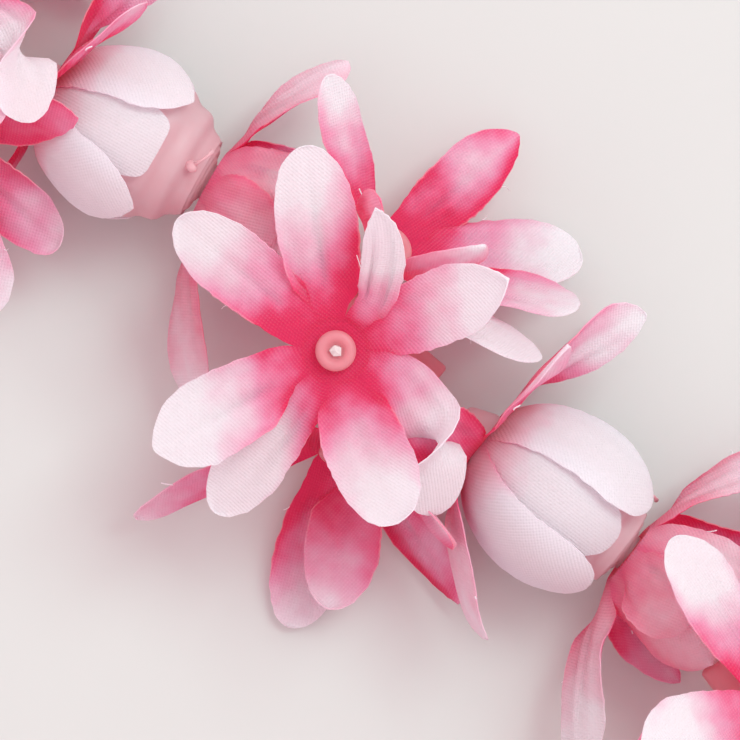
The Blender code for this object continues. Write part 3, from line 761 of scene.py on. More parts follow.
class LeiStageSettings(bpy.types.PropertyGroup):
    """The floor and the light."""

    floor: colour("Floor", "A plain pale floor", "CACCCA")
    key: FloatProperty(
        name="Key light", description="Power of the large soft light", default=54, unit="POWER"
    )
    fill: FloatProperty(name="Fill", description="Strength of the light from all round", default=1.2)


def add_node(tree, kind, inputs=None, stops=(), output=0, **settings):
    """Adds a node with its settings, its inputs as values or links, and colour stops, and gives an output."""
    made = tree.nodes.new(kind)
    for name, value in settings.items():
        setattr(made, name, value)
    for socket, value in (inputs or {}).items():
        if isinstance(value, bpy.types.NodeSocket):
            tree.links.new(value, made.inputs[socket])
        else:
            made.inputs[socket].default_value = value
    for index, (place, shade) in enumerate(stops):
        if index == len(made.color_ramp.elements):
            made.color_ramp.elements.new(place)
        made.color_ramp.elements[index].position = place
        made.color_ramp.elements[index].color = shade
    return made.outputs[output] if made.outputs else None


def new_material(name):
    """An empty material and its node tree."""
    made = bpy.data.materials.new(name)
    made.use_nodes = True
    made.node_tree.nodes.clear()
    return made, made.node_tree


def clouded(tree, size, detail, first, second):
    """A noise of a size in metres over the piece's own coordinates, and a colour that follows it."""
    place = add_node(tree, "ShaderNodeTexCoord", output="Object")
    cloud = add_node(tree, "ShaderNodeTexNoise", {"Vector": place, "Scale": 1 / size, "Detail": detail})
    colours = {"Factor": cloud, MIX_FIRST: first, MIX_SECOND: second}
    return cloud, add_node(tree, "ShaderNodeMix", colours, data_type="RGBA", output=MIXED)


def cloth_material(name, stops, glow_stops, settings):
    """Polyester cloth, woven plain, stiffened and dyed with an air brush: matt and translucent."""
    made, tree = new_material(name)
    dye = add_node(tree, "ShaderNodeAttribute", attribute_name="dye", output="Fac")
    across = add_node(tree, "ShaderNodeAttribute", attribute_name="across", output="Fac")
    place = add_node(tree, "ShaderNodeTexCoord", output="Object")
    # the air brush's dye ends in soft blotches about 6 mm across
    blotch = add_node(tree, "ShaderNodeTexNoise", {"Vector": place, "Scale": 1 / (6 * MM), "Detail": 2})
    spread = add_node(tree, "ShaderNodeMath", {0: blotch, 1: 0.4, 2: -0.2}, operation="MULTIPLY_ADD")
    dye = add_node(tree, "ShaderNodeMath", {0: dye, 1: spread}, operation="ADD")
    shade = add_node(tree, "ShaderNodeValToRGB", {"Fac": dye}, stops)
    glow = add_node(tree, "ShaderNodeValToRGB", {"Fac": dye}, glow_stops)

    # threads cross over and under, at the spacing seen in the photograph
    weave = add_node(tree, "ShaderNodeUVMap", uv_map="weave")
    threads = []
    for axis in "XY":
        thread = add_node(tree, "ShaderNodeSeparateXYZ", {0: weave}, output=axis)
        turns = {0: thread, 1: math.pi / settings.thread}
        thread = add_node(tree, "ShaderNodeMath", turns, operation="MULTIPLY")
        threads.append(add_node(tree, "ShaderNodeMath", {0: thread}, operation="SINE"))
    warp, weft = threads
    over = add_node(tree, "ShaderNodeMath", {0: warp, 1: weft}, operation="MULTIPLY")
    furrow = add_node(tree, "ShaderNodeMath", {0: warp, 1: warp}, operation="MULTIPLY")
    pick = add_node(tree, "ShaderNodeMath", {0: weft, 1: weft}, operation="MULTIPLY")
    height = WEAVE_CROWN
    for part, depth in ((furrow, WARP_DEPTH), (pick, WEFT_DEPTH), (over, CROSSING)):
        sums = {0: part, 1: depth, 2: height}
        height = add_node(tree, "ShaderNodeMath", sums, operation="MULTIPLY_ADD")
    # the crowns of the threads hold less dye, and the furrows between them lie in shade
    crown = add_node(tree, "ShaderNodeMath", {0: height, 1: dye}, operation="MULTIPLY", use_clamp=True)
    crown = add_node(tree, "ShaderNodeMath", {0: crown, 1: 0.55}, operation="MULTIPLY")
    colours = {"Factor": crown, MIX_FIRST: shade, MIX_SECOND: settings.tip}
    shade = add_node(tree, "ShaderNodeMix", colours, data_type="RGBA", output=MIXED)
    level = add_node(tree, "ShaderNodeMath", {0: height, 1: 0.028, 2: 0.968}, operation="MULTIPLY_ADD")
    shade = add_node(tree, "ShaderNodeVectorMath", {0: shade, 1: level}, operation="MULTIPLY")
    # the cut edge has lost its dye for about a third of a millimetre
    edge = add_node(tree, "ShaderNodeMath", {0: across}, operation="ABSOLUTE")
    edge = add_node(
        tree, "ShaderNodeMath", {0: edge, 1: 14, 2: -13.4}, operation="MULTIPLY_ADD", use_clamp=True
    )
    colours = {"Factor": edge, MIX_FIRST: shade, MIX_SECOND: settings.fading}
    shade = add_node(tree, "ShaderNodeMix", colours, data_type="RGBA", output=MIXED)
    bump = add_node(tree, "ShaderNodeBump", {"Height": height, "Strength": 0.6, "Distance": 0.05 * MM})
    surface = add_node(
        tree, "ShaderNodeBsdfPrincipled",
        {"Base Color": shade, "Roughness": 0.72, "IOR": 1.5, "Specular IOR Level": 0.3,
         "Sheen Weight": 0.15, "Sheen Roughness": 0.5, "Normal": bump},
    )
    # light that has come through has passed dyed fibre all the way, and is pinker
    through = add_node(tree, "ShaderNodeBsdfTranslucent", {"Color": glow, "Normal": bump})
    mixed = add_node(tree, "ShaderNodeMixShader", {0: 0.6, 1: surface, 2: through})
    add_node(tree, "ShaderNodeOutputMaterial", {"Surface": mixed})
    return made


def cloth_materials():
    """The front and the back of the dyed cloth."""
    found = bpy.data.materials.get("woven_polyester_front"), bpy.data.materials.get("woven_polyester_back")
    if all(found):
        return found
    cloth = bpy.context.scene.lei_cloth
    front = [
        (0.17, cloth.heart), (0.25, cloth.root), (0.33, cloth.middle), (0.45, cloth.pale),
        (0.6, cloth.fading), (0.78, cloth.tip),
    ]
    back = [(0.1, cloth.middle), (0.26, cloth.pale), (0.4, cloth.fading), (0.54, cloth.tip)]
    glow = [(0.2, cloth.glow_root), (0.42, cloth.glow_middle), (0.74, cloth.glow_tip)]
    return (
        cloth_material("woven_polyester_front", front, glow, cloth),
        cloth_material("woven_polyester_back", back, glow, cloth),
    )


def plastic_material(name, body, milky):
    """Soft polyethylene, moulded and tinted pink: milky, half clear, with a dull gloss."""
    made, tree = new_material(name)
    # the melt's flow leaves faint clouds about 5 mm across
    cloud, shade = clouded(tree, 5 * MM, 3, body, milky)
    bump = add_node(tree, "ShaderNodeBump", {"Height": cloud, "Strength": 0.25, "Distance": 0.3 * MM})
    surface = add_node(
        tree, "ShaderNodeBsdfPrincipled",
        {"Base Color": shade, "Roughness": 0.38, "IOR": 1.51, "Transmission Weight": 0.15, "Normal": bump},
    )
    glow = add_node(tree, "ShaderNodeBsdfTranslucent", {"Color": shade})
    mixed = add_node(tree, "ShaderNodeMixShader", {0: 0.5, 1: surface, 2: glow})
    add_node(tree, "ShaderNodeOutputMaterial", {"Surface": mixed})
    return made


def cord_material():
    """Spun nylon cord, twisted from fine fibres: matt and slightly fuzzy."""
    made, tree = new_material("twisted_nylon")
    # the fibres are about 0.1 mm apart, and are drawn three times as coarse to show
    tint = bpy.context.scene.lei_cord.tint
    fibre, shade = clouded(tree, 0.3 * MM, 3, tint, linear("D9C6C2"))
    bump = add_node(tree, "ShaderNodeBump", {"Height": fibre, "Strength": 0.4, "Distance": 0.1 * MM})
    surface = add_node(
        tree, "ShaderNodeBsdfPrincipled",
        {"Base Color": shade, "Roughness": 0.8, "IOR": 1.53, "Sheen Weight": 0.3, "Normal": bump},
    )
    add_node(tree, "ShaderNodeOutputMaterial", {"Surface": surface})
    return made


def core_material():
    """Clear plastic core, cut off in the socket's hole: rough facets, whitish plastic made grey with painted
    shade of the hole.
    """
    made, tree = new_material("cut_polyethylene_core")
    # the cut leaves it uneven over about 0.8 mm, and its hollows take the darker grey as painted shade
    unevenness_and_shade, shade = clouded(tree, 0.8 * MM, 2, linear("BFA9AD"), linear("E2D6D6"))
    bump = add_node(tree, "ShaderNodeBump", {"Height": unevenness_and_shade, "Strength": 0.4, "Distance": 0.2 * MM})
    surface = add_node(
        tree, "ShaderNodeBsdfPrincipled", {"Base Color": shade, "Roughness": 0.3, "IOR": 1.5, "Normal": bump}
    )
    add_node(tree, "ShaderNodeOutputMaterial", {"Surface": surface})
    return made


def floor_material():
    """Matt painted board: pale, with a faint grain."""
    made, tree = new_material("painted_board")
    # the paint's tone drifts over about 60 mm
    tint = bpy.context.scene.lei_stage.floor
    _, shade = clouded(tree, 60 * MM, 2, tint, linear("C7C8C7"))
    surface = add_node(
        tree, "ShaderNodeBsdfPrincipled", {"Base Color": shade, "Roughness": 0.85, "Specular IOR Level": 0.2}
    )
    add_node(tree, "ShaderNodeOutputMaterial", {"Surface": surface})
    return made


def cut_for(draw, star_name, repeat, petal):
    """How a petal's cloth was cut and shaped, drawn at random within what the photograph shows."""
    settings = bpy.context.scene.lei_cloth
    cup = star_name == "base" and petal.tip_lift > CUP_LIFT - LOOSE_CUP_OPENING
    azimuth = round(math.degrees(petal.azimuth))
    cut = Cut(
        fullness=settings.cup_fullness if cup else settings.fullness * draw.uniform(*FULLNESS_RANGE),
        widest=draw.uniform(*WIDEST_RANGE),
        skew=draw.uniform(*SKEW_RANGE),
        point=draw.choice(POINTS),
        camber=draw.uniform(*CAMBER_RANGE) * MM,
        crease=draw.uniform(*CREASE_RANGE) * MM,
        ripple=draw.uniform(*RIPPLE_RANGE) * MM,
        phase=draw.uniform(0, math.tau),
        slant=0,
        layer=0,
        wraps=cup,
        blush=draw.uniform(-1, 1),
        rim=draw.choice(RIMS),
        # the star's painted light and shade, and a tone that differs at random from petal to petal
        tone=STAR_SHADE_TONES[star_name] + draw.uniform(*TONE_RANGE),
        turned=TURNED_OVER.get((star_name, azimuth), (0, 0, 0)),
    )
    if cut.turned[0]:
        cut = cut._replace(tone=cut.tone + TURNED_TONE)
    if (star_name, azimuth) in BACKS_UP:
        cut = cut._replace(tone=BACK_TONE, fullness=cut.fullness * BACKS_UP[star_name, azimuth])
    if not cup:
        return cut
    inner = round(azimuth / 45) % 2 == 0
    cut = cut._replace(
        layer=CUP_LAYERS[inner], camber=0, crease=CUP_CREASE, ripple=CUP_RIPPLE, point=1.05,
        blush=cut.blush * CUP_BLUSH, rim=0, tone=cut.tone + CUP_TONE, widest=0.62, skew=cut.skew / 2,
    )
    if repeat % 2 == 0 and petal.azimuth != math.pi:
        cut = cut._replace(slant=draw.choice(CUP_SLANTS) if inner else 0, point=CUP_POINTS[inner])
    return cut


def cloth_width(share, cut, across):
    """A cloth petal's width against its greatest, which its two sides reach at different places."""
    widest = cut.widest + math.copysign(cut.skew, across)
    if share < widest:
        return CLOTH_ROOT + (1 - CLOTH_ROOT) * math.sin(math.pi / 2 * share / widest)
    return max(0, 1 - ((share - widest) / (1 - widest)) ** 2) ** (0.5 * cut.point)


def row_share(row):
    """How far along its petal a row lies: rows crowd together where the tip turns round."""
    share = row / ALONG
    if share < WIDEST:
        return share
    return WIDEST + (1 - WIDEST) * math.sin(math.pi / 2 * (share - WIDEST) / (1 - WIDEST))


def petal_row(line, share):
    """Centre, sideways and backward directions at a share of a petal's length."""
    place = share * LINE_STEPS
    step = min(int(place), LINE_STEPS - 1)
    return [first.lerp(last, place - step) for first, last in zip(line[step], line[step + 1])]


def cloth_layers(bm):
    """The layers that the cloth's material reads."""
    return [bm.verts.layers.float.new(name) for name in ("dye", "across")], bm.loops.layers.uv.new("weave")


def smooth_step(low, high, value):
    """A soft step from 0 to 1."""
    share = max(0, min(1, (value - low) / (high - low)))
    return share * share * (3 - 2 * share)


def half_gaps(petals, petal):
    """Half the angle from a petal to its neighbours, on the side of lower azimuth and of higher."""
    turns = [(other.azimuth - petal.azimuth) % math.tau for other in petals if other != petal]
    return [min(WIDEST_SLIT, gap / 2) for gap in (math.tau - max(turns), min(turns))]


def dye_at(cut, along, across):
    """How much dye the cloth has lost: 0 at the hub, 1 at an undyed tip. The petal's tone sets how fast the
    dye fades, and it holds its star's painted light and shade.
    """
    lean = max(0, across * cut.blush) * along * (BLUSH_TO - along)
    lean += EDGE_DYE * across ** 4 * along * (1 - along)
    rim = cut.rim * smooth_step(RIM_FROM, 1, along + RIM_CURVE * abs(across))
    return along * (FADING + cut.tone) - BLUSH_DEPTH * lean - RIM_DEPTH * rim


def root_point(star, petals, azimuth, distance):
    """A point near the hub, where the petals are still one sheet whose lift runs from petal to petal."""
    before = min(petals, key=lambda petal: (azimuth - petal.azimuth) % math.tau)
    after = min(petals, key=lambda petal: (petal.azimuth - azimuth) % math.tau)
    gap = (after.azimuth - before.azimuth) % math.tau
    share = smooth_step(0, gap, (azimuth - before.azimuth) % math.tau) if gap else 0
    lift = before.root_lift + (after.root_lift - before.root_lift) * share
    out = around(azimuth)
    beyond = max(0, distance - star.hub)
    return star.place @ (out * (distance - beyond * (1 - math.cos(lift))) + UP * (beyond * math.sin(lift)))


def lay_weave(verts, weave, flat):
    """Smooth faces, with the weave laid flat on them."""
    for face in {face for vert in verts for face in vert.link_faces}:
        face.smooth = True
        for loop in face.loops:
            loop[weave].uv = flat[loop.vert]


def add_petal(bm, layers, star, petals, petal, cut, draw):
    """A petal of cloth, made as a grid and laid along the petal's line."""
    gaps = half_gaps(petals, petal)
    settings = bpy.context.scene.lei_cloth
    (dye, side_layer), weave = layers
    line = petal_line(star.place, star.hub, petal)
    half_width = petal.half_width * cut.fullness
    turned, turned_from, aside = cut.turned
    back_to_star = star.place.inverted()
    verts = bmesh.ops.create_grid(bm, x_segments=ACROSS, y_segments=ALONG, size=1)["verts"]
    flat = {}
    for index, vert in enumerate(verts):
        row, column = divmod(index, ACROSS + 1)
        across = 1 - 2 * column / ACROSS
        share = row_share(row)
        sideways = across * half_width * cloth_width(share, cut, across)
        distance = star.hub + share * petal.length
        if not cut.wraps:
            slit = distance * gaps[across > 0] * abs(across) + max(0, share - ONE_SHEET_TO) * half_width * 2
            sideways = math.copysign(min(abs(sideways), slit), across)
        share = min(1, share * (1 - abs(cut.slant) * share * (1 + math.copysign(across, cut.slant)) / 2))
        if abs(across) == 1 and 0 < row < ALONG and share > ONE_SHEET_TO:
            sideways += draw.uniform(-1, 1) * settings.ragged
        centre, side, back = petal_row(line, share)
        opening = smooth_step(0, SHAPED_FROM, share)
        ripple = cut.ripple * across ** 2 * math.sin(math.tau * (RIPPLES * share) + cut.phase)
        fold = math.cos(3 * math.pi * across + cut.phase) + 0.5 * math.cos(5 * math.pi * across - cut.phase)
        crease = cut.crease * fold * (1 - share) ** CREASE_FADING
        camber = abs(cut.camber) * ((1 - across ** 2) if cut.camber > 0 else across ** 2)
        depth = (ripple + crease + camber) * opening
        if cut.wraps:
            local = back_to_star @ centre
            radius = math.hypot(local.x, local.y)
            angle = math.atan2(local.y, local.x) + sideways / max(radius, CUP_WRAP_LEAST)
            radius += cut.layer * opening + depth
            vert.co = star.place @ Vector((radius * math.cos(angle), radius * math.sin(angle), local.z))
        else:
            over = smooth_step(turned_from, 1, share)
            turn = turned * smooth_step(turned_from, turned_from + TURN_WITHIN, share)
            centre = centre + side * aside * over
            side, back = rolled(side, back, turn)
            sheet = root_point(star, petals, petal.azimuth + sideways / distance, distance)
            vert.co = sheet.lerp(
                centre + side * sideways + back * depth, smooth_step(ONE_SHEET_TO, APART_FROM, share)
            )
        vert.co.z = max(vert.co.z, FLOOR_CLEARANCE)
        distance = star.hub + share * petal.length
        heading = Vector((math.cos(petal.azimuth), math.sin(petal.azimuth)))
        flat[vert] = heading * distance + heading.orthogonal() * sideways
        # the dye's fading, with the star's painted light and shade in it through the petal's tone
        vert[dye] = dye_at(cut, distance / (star.hub + STAR_LENGTH), across)
        vert[side_layer] = across * smooth_step(ONE_SHEET_TO, EDGE_FROM, share)
    lay_weave(verts, weave, flat)
    bmesh.ops.remove_doubles(bm, verts=verts[-(ACROSS + 1):], dist=WELD)


def add_hub(bm, layers, star, petals, hole):
    """The middle of a stamped star, from its hole to where the petals begin."""
    (dye, side_layer), weave = layers
    verts = bmesh.ops.create_grid(bm, x_segments=HUB_SEGMENTS, y_segments=HUB_RINGS, size=1)["verts"]
    flat = {}
    for index, vert in enumerate(verts):
        ring, segment = divmod(index, HUB_SEGMENTS + 1)
        azimuth = -math.tau * segment / HUB_SEGMENTS
        distance = hole + (star.hub + HUB_OVERLAP - hole) * ring / HUB_RINGS
        vert.co = root_point(star, petals, azimuth, distance)
        flat[vert] = Vector((math.cos(azimuth), math.sin(azimuth))) * distance
        vert[dye] = distance / (star.hub + STAR_LENGTH)
        vert[side_layer] = 0
    lay_weave(verts, weave, flat)
    bmesh.ops.remove_doubles(bm, verts=verts, dist=WELD)


def add_thread(bm, layers, star, petal, cut, draw):
    """A loose thread that hangs off a petal's edge."""
    (dye, _), _ = layers
    line = petal_line(star.place, star.hub, petal)
    share = draw.uniform(*THREAD_ROOTS)
    centre, side, back = petal_row(line, share)
    edge = draw.choice((-1, 1))
    point = centre + side * (edge * petal.half_width * cut.fullness * cloth_width(share, cut, edge) * 0.98)
    along = (petal_row(line, min(1, share + 0.1))[0] - centre).normalized()
    reach = draw.uniform(*THREAD_LENGTHS) * MM
    curl = draw.uniform(-THREAD_CURL, THREAD_CURL)
    verts = bmesh.ops.create_grid(bm, x_segments=1, y_segments=THREAD_STEPS, size=1)["verts"]
    for step in range(THREAD_STEPS + 1):
        for vert, way in zip(verts[2 * step:2 * step + 2], (1, -1)):
            vert.co = point + back.cross(along) * (THREAD_HALF_WIDTH * way)
            vert.co.z = max(vert.co.z, FLOOR_CLEARANCE)
            vert[dye] = THREAD_DYE
        turn = curl * step / THREAD_STEPS + 0.5
        heading = side * (edge * math.sin(turn)) + along * math.cos(turn) + back * 0.3 * math.sin(2 * turn)
        point = point + heading * reach / THREAD_STEPS


def star_cloth(bm, layers, star_name, repeat, star, hole):
    """The whole cloth of a star, and of the cup that is stamped apart from it."""
    draw = random.Random(f"{star_name} {repeat}")
    cut = {petal: cut_for(draw, star_name, repeat, petal) for petal in star.petals}
    cups = [petal for petal in star.petals if cut[petal].wraps]
    opened = [petal for petal in star.petals if not cut[petal].wraps]
    for petals in (opened, cups):
        if petals:
            for petal in petals:
                add_petal(bm, layers, star, petals, petal, cut[petal], draw)
            add_hub(bm, layers, star, petals, hole)
    for petal in draw.sample(opened, min(THREADS_PER_STAR, len(opened))):
        if not cut[petal].turned[0]:
            add_thread(bm, layers, star, petal, cut[petal], draw)


def cloth_piece(name, node, stars):
    """A piece of cloth stars that stands for a solid."""
    bm = bmesh.new()
    layers = cloth_layers(bm)
    for star_name, repeat, star, hole in stars:
        star_cloth(bm, layers, star_name, repeat, star, hole)
    for edge in bm.edges:
        edge.smooth = not edge.is_boundary
    piece = finished(name, bm, cloth_materials(), node)
    solid = piece.modifiers.new("Cloth thickness", "SOLIDIFY")
    solid.thickness = bpy.context.scene.lei_cloth.thickness
    solid.offset = 0
    solid.material_offset = 1
    return piece


def strung_stars(star_name, stars, name, node):
    """The pieces of a star that sits on the tube of every blossom."""
    for repeat, star in enumerate(stars):
        wanted = [(star_name, repeat, star, TUBE_RADIUS)]
        cloth_piece(f"{name}_{repeat}", f"{node}_{repeat}", wanted)


def finished(name, bm, materials, node):
    """A finished mesh as a piece that rides on the lei and stands for a solid, where one is named."""
    mesh = bpy.data.meshes.new(name)
    bm.to_mesh(mesh)
    bm.free()
    for surface in materials:
        mesh.materials.append(surface)
    piece = bpy.data.objects.new(name, mesh)
    bpy.context.scene.collection.objects.link(piece)
    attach(piece, "root")
    if node:
        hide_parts(node)
    return piece


def add_turned(bm, profile, steps, place):
    """A closed profile of radii and heights, spun about Z and put in its place."""
    part = bmesh.new()
    corners = [part.verts.new((radius, 0, height)) for radius, height in profile]
    edges = [part.edges.new(pair) for pair in zip(corners, corners[1:] + corners[:1])]
    bmesh.ops.spin(
        part, geom=corners + edges, axis=(0, 0, 1), cent=(0, 0, 0), angle=math.tau, steps=steps,
        use_merge=True, use_duplicate=False,
    )
    weld_in(bm, part, place)


def weld_in(bm, part, place):
    """Welds a part, puts it in its place and adds it to a mesh."""
    bmesh.ops.remove_doubles(part, verts=part.verts, dist=WELD / 2)
    bmesh.ops.recalc_face_normals(part, faces=part.faces)
    part.transform(place)
    take_in(bm, part)


def take_in(bm, part, smooth=True):
    """Adds a part to a mesh that is being made."""
    for face in part.faces:
        face.smooth = smooth
    mesh = bpy.data.meshes.new("part")
    part.to_mesh(mesh)
    part.free()
    bm.from_mesh(mesh)
    bpy.data.meshes.remove(mesh)


def add_tube(bm, points, radii, sides, place, cyclic=False):
    """A tube along points, with a radius at each, closed at its ends or joined end to end."""
    curve = bpy.data.curves.new("tube", "CURVE")
    curve.dimensions = "3D"
    curve.bevel_depth = 1
    curve.bevel_resolution = max(0, sides // 2 - 2)
    curve.use_fill_caps = not cyclic
    spline = curve.splines.new("POLY")
    spline.points.add(len(points) - 1)
    for corner, point, radius in zip(spline.points, points, radii):
        corner.co = (*point, 1)
        corner.radius = radius
    spline.use_cyclic_u = cyclic
    drawn = bpy.data.objects.new("tube", curve)
    bpy.context.scene.collection.objects.link(drawn)
    bpy.context.view_layer.update()
    mesh = bpy.data.meshes.new_from_object(drawn.evaluated_get(bpy.context.evaluated_depsgraph_get()))
    bpy.data.objects.remove(drawn)
    bpy.data.curves.remove(curve)
    part = bmesh.new()
    part.from_mesh(mesh)
    bpy.data.meshes.remove(mesh)
    weld_in(bm, part, place)


# The bell: three soft rings pressed into the skirt before its mouth, the rippled face of the mouth, and
# the collar behind the petals. Its turned profile has rounded edges.
BELL_ROWS = 40
LIP_FROM = math.radians(92)
LIP_RINGS = 3
LIP_DEPTH = 0.55 * MM
LIP_RAMP = 3
MOUTH_RIPPLES = 2
MOUTH_RIPPLE = 0.3 * MM
MOUTH_RISE = 0.9 * MM
MOUTH_EDGE = 0.2 * MM
MOUTH_SHARES = (0, 0.12, 0.24, 0.36, 0.48, 0.6, 0.72, 0.84, 0.96)
COLLAR_RADIUS = 4.6 * MM
COLLAR_LENGTH = 4 * MM
COLLAR_EDGE = 0.7 * MM
COLLAR_FOOT = 0.3 * MM
TUBE_EDGE = 0.4 * MM

# What the moulding left on the lip, in millimetres: places and radii of a torn tab, and from its third
# point on those of a thread of plastic that ends in a drop
SPRUE_TAB = [(0, 0, 0, 1.0), (1.0, 0.2, 0.2, 0.9), (1.9, 0.5, 0.6, 0.8), (2.2, 0.6, 1.3, 0.4)]
SPRUE_THREAD = [(0, -0.5, 0, 0.35), (0.4, -1.8, 0.8, 0.2), (0.2, -3.0, 1.3, 0.22), (0.0, -4.0, 1.6, 0.42)]
SPRUE_INSET = 0.5 * MM
SPRUE_FROM_MOUTH = math.radians(9)
FIRST_SPRUE = math.radians(-6)
SPRUE_RANGE = 0.6


def ringed_wall(turn):
    """A radius and height of the bell's wall, with the rings of its lip."""
    depth = 0
    if turn > LIP_FROM:
        share = (turn - LIP_FROM) / (BELL_MOUTH - LIP_FROM)
        depth = LIP_DEPTH * (math.cos(math.tau * LIP_RINGS * share) - 1) / 2 * min(1, LIP_RAMP * share)
    return bell_wall(turn, 1 + depth / BELL_RADIUS)


def bell_profile():
    """The bell's outline: its far end, the mouth's face, the wall, the collar and its near end."""
    outer = [ringed_wall(turn) for turn in bell_turns(BELL_ROWS)]
    lip_radius, lip_height = outer[-1]
    profile = [(TUBE_RADIUS, BLOSSOM_TO - TUBE_EDGE)]
    for share in MOUTH_SHARES:
        step = MOUTH_RIPPLE * math.sin(math.tau * MOUTH_RIPPLES * share)
        radius = TUBE_RADIUS + (lip_radius - TUBE_RADIUS) * share
        profile.append((radius, lip_height + MOUTH_RISE * (1 - share) + step))
    profile.append((lip_radius, lip_height + MOUTH_EDGE))
    profile += reversed(outer[1:])
    profile += [
        (COLLAR_RADIUS, -COLLAR_EDGE), (TUBE_RADIUS + COLLAR_FOOT, -COLLAR_LENGTH),
        (TUBE_RADIUS, BLOSSOM_FROM + TUBE_EDGE), (TUBE_RADIUS - TUBE_EDGE, BLOSSOM_FROM),
        (BORE_RADIUS, BLOSSOM_FROM), (BORE_RADIUS, BLOSSOM_TO), (TUBE_RADIUS - TUBE_EDGE, BLOSSOM_TO),
    ]
    return profile


def add_sprue(bm, place, azimuth):
    """A torn tab on the lip, with the thread of plastic and the drop that were left by the moulding."""
    radius, height = ringed_wall(BELL_MOUTH - SPRUE_FROM_MOUTH)
    turn = place @ Matrix.Rotation(azimuth, 4, "Z")
    start = Vector((radius - SPRUE_INSET, 0, height))
    for rows, sides in ((SPRUE_TAB, 10), (SPRUE_THREAD, 8)):
        points = [start + Vector(row[:3]) * MM for row in rows]
        add_tube(bm, points, [row[3] * MM for row in rows], sides, turn)
        start = points[2]


# The hole in a socket, as deep as it looks with its core, the core's uneven cut, and the hole of the star
# that is pressed onto the socket
CORE_DEPTH = 0.9 * MM
CORE_RADIUS = 1.15 * MM
CORE_NOISE = 0.8 * MM
CORE_UNEVENNESS = 0.35
STAR_HOLE = SOCKET_RADIUS - 0.2 * MM

# Steps along a branch, and the strands of the cord: their number, faces and steps a turn
SMOOTH_STEPS = 12
STRANDS = 3
STRAND_SIDES = 6
STEPS_A_TURN = 8


def stem_socket():
    """The outline of a star's socket: a tube with a rounded rim, and a seat behind the petals."""
    return [
        (0, SOCKET_ABOVE - CORE_DEPTH),
        (SOCKET_HOLE - 0.3 * MM, SOCKET_ABOVE - CORE_DEPTH),
        (SOCKET_HOLE, SOCKET_ABOVE - 0.4 * MM),
        (SOCKET_HOLE + 0.4 * MM, SOCKET_ABOVE),
        (SOCKET_RADIUS - 0.5 * MM, SOCKET_ABOVE),
        (SOCKET_RADIUS, SOCKET_ABOVE - 0.5 * MM),
        (SOCKET_RADIUS, -0.5 * MM),
        (SOCKET_RADIUS + 1.2 * MM, -0.7 * MM),
        (SOCKET_RADIUS + 1.0 * MM, -1.4 * MM),
        (SOCKET_RADIUS - 0.6 * MM, -SOCKET_BELOW + 0.4 * MM),
        (SOCKET_RADIUS - 1.2 * MM, -SOCKET_BELOW),
        (0, -SOCKET_BELOW),
    ]


def add_plug(bm, place, draw):
    """The core of the branch, cut off, seen in the socket's hole."""
    part = bmesh.new()
    made = bmesh.ops.create_icosphere(part, subdivisions=1, radius=CORE_RADIUS)
    seed = Vector((draw.uniform(0, 9), draw.uniform(0, 9), 0))
    for vert in made["verts"]:
        vert.co *= 1 + CORE_UNEVENNESS * noise.noise(vert.co / CORE_NOISE + seed)
    part.transform(place @ Matrix.Translation((0, 0, SOCKET_ABOVE - CORE_DEPTH)))
    take_in(bm, part, smooth=False)


class LEI_OT_bells(bpy.types.Operator):
    """Make the moulded bell of each blossom, with its tube and collar"""

    bl_idname = "lei.bells"
    bl_label = "Bells"

    def execute(self, context):
        settings = context.scene.lei_plastic
        plastic = plastic_material("moulded_polyethylene_bell", settings.body, settings.cloud)
        steps = settings.bell_steps
        for repeat, bases in enumerate(lay_out().bases):
            draw = random.Random(f"bell {repeat}")
            bm = bmesh.new()
            add_turned(bm, bell_profile(), steps, bases.place)
            azimuth = FIRST_SPRUE if repeat == 0 else draw.uniform(-math.pi, math.pi) * SPRUE_RANGE
            add_sprue(bm, bases.place, azimuth)
            finished(f"moulded_bell_{repeat}", bm, [plastic], f"bell_{repeat}")
        return {"FINISHED"}


class LEI_OT_blossoms(bpy.types.Operator):
    """Make each blossom's cup of petals and the open star at its base"""

    bl_idname = "lei.blossoms"
    bl_label = "Blossom petals"

    def execute(self, context):
        strung_stars("base", lay_out().bases, "blossom_cloth", "blossom_petals")
        return {"FINISHED"}


class LEI_OT_mouth_stars(bpy.types.Operator):
    """Make the open star at each bell's mouth"""

    bl_idname = "lei.mouth_stars"
    bl_label = "Mouth stars"

    def execute(self, context):
        strung_stars("mouth", lay_out().mouths, "mouth_star_cloth", "mouth_star")
        return {"FINISHED"}


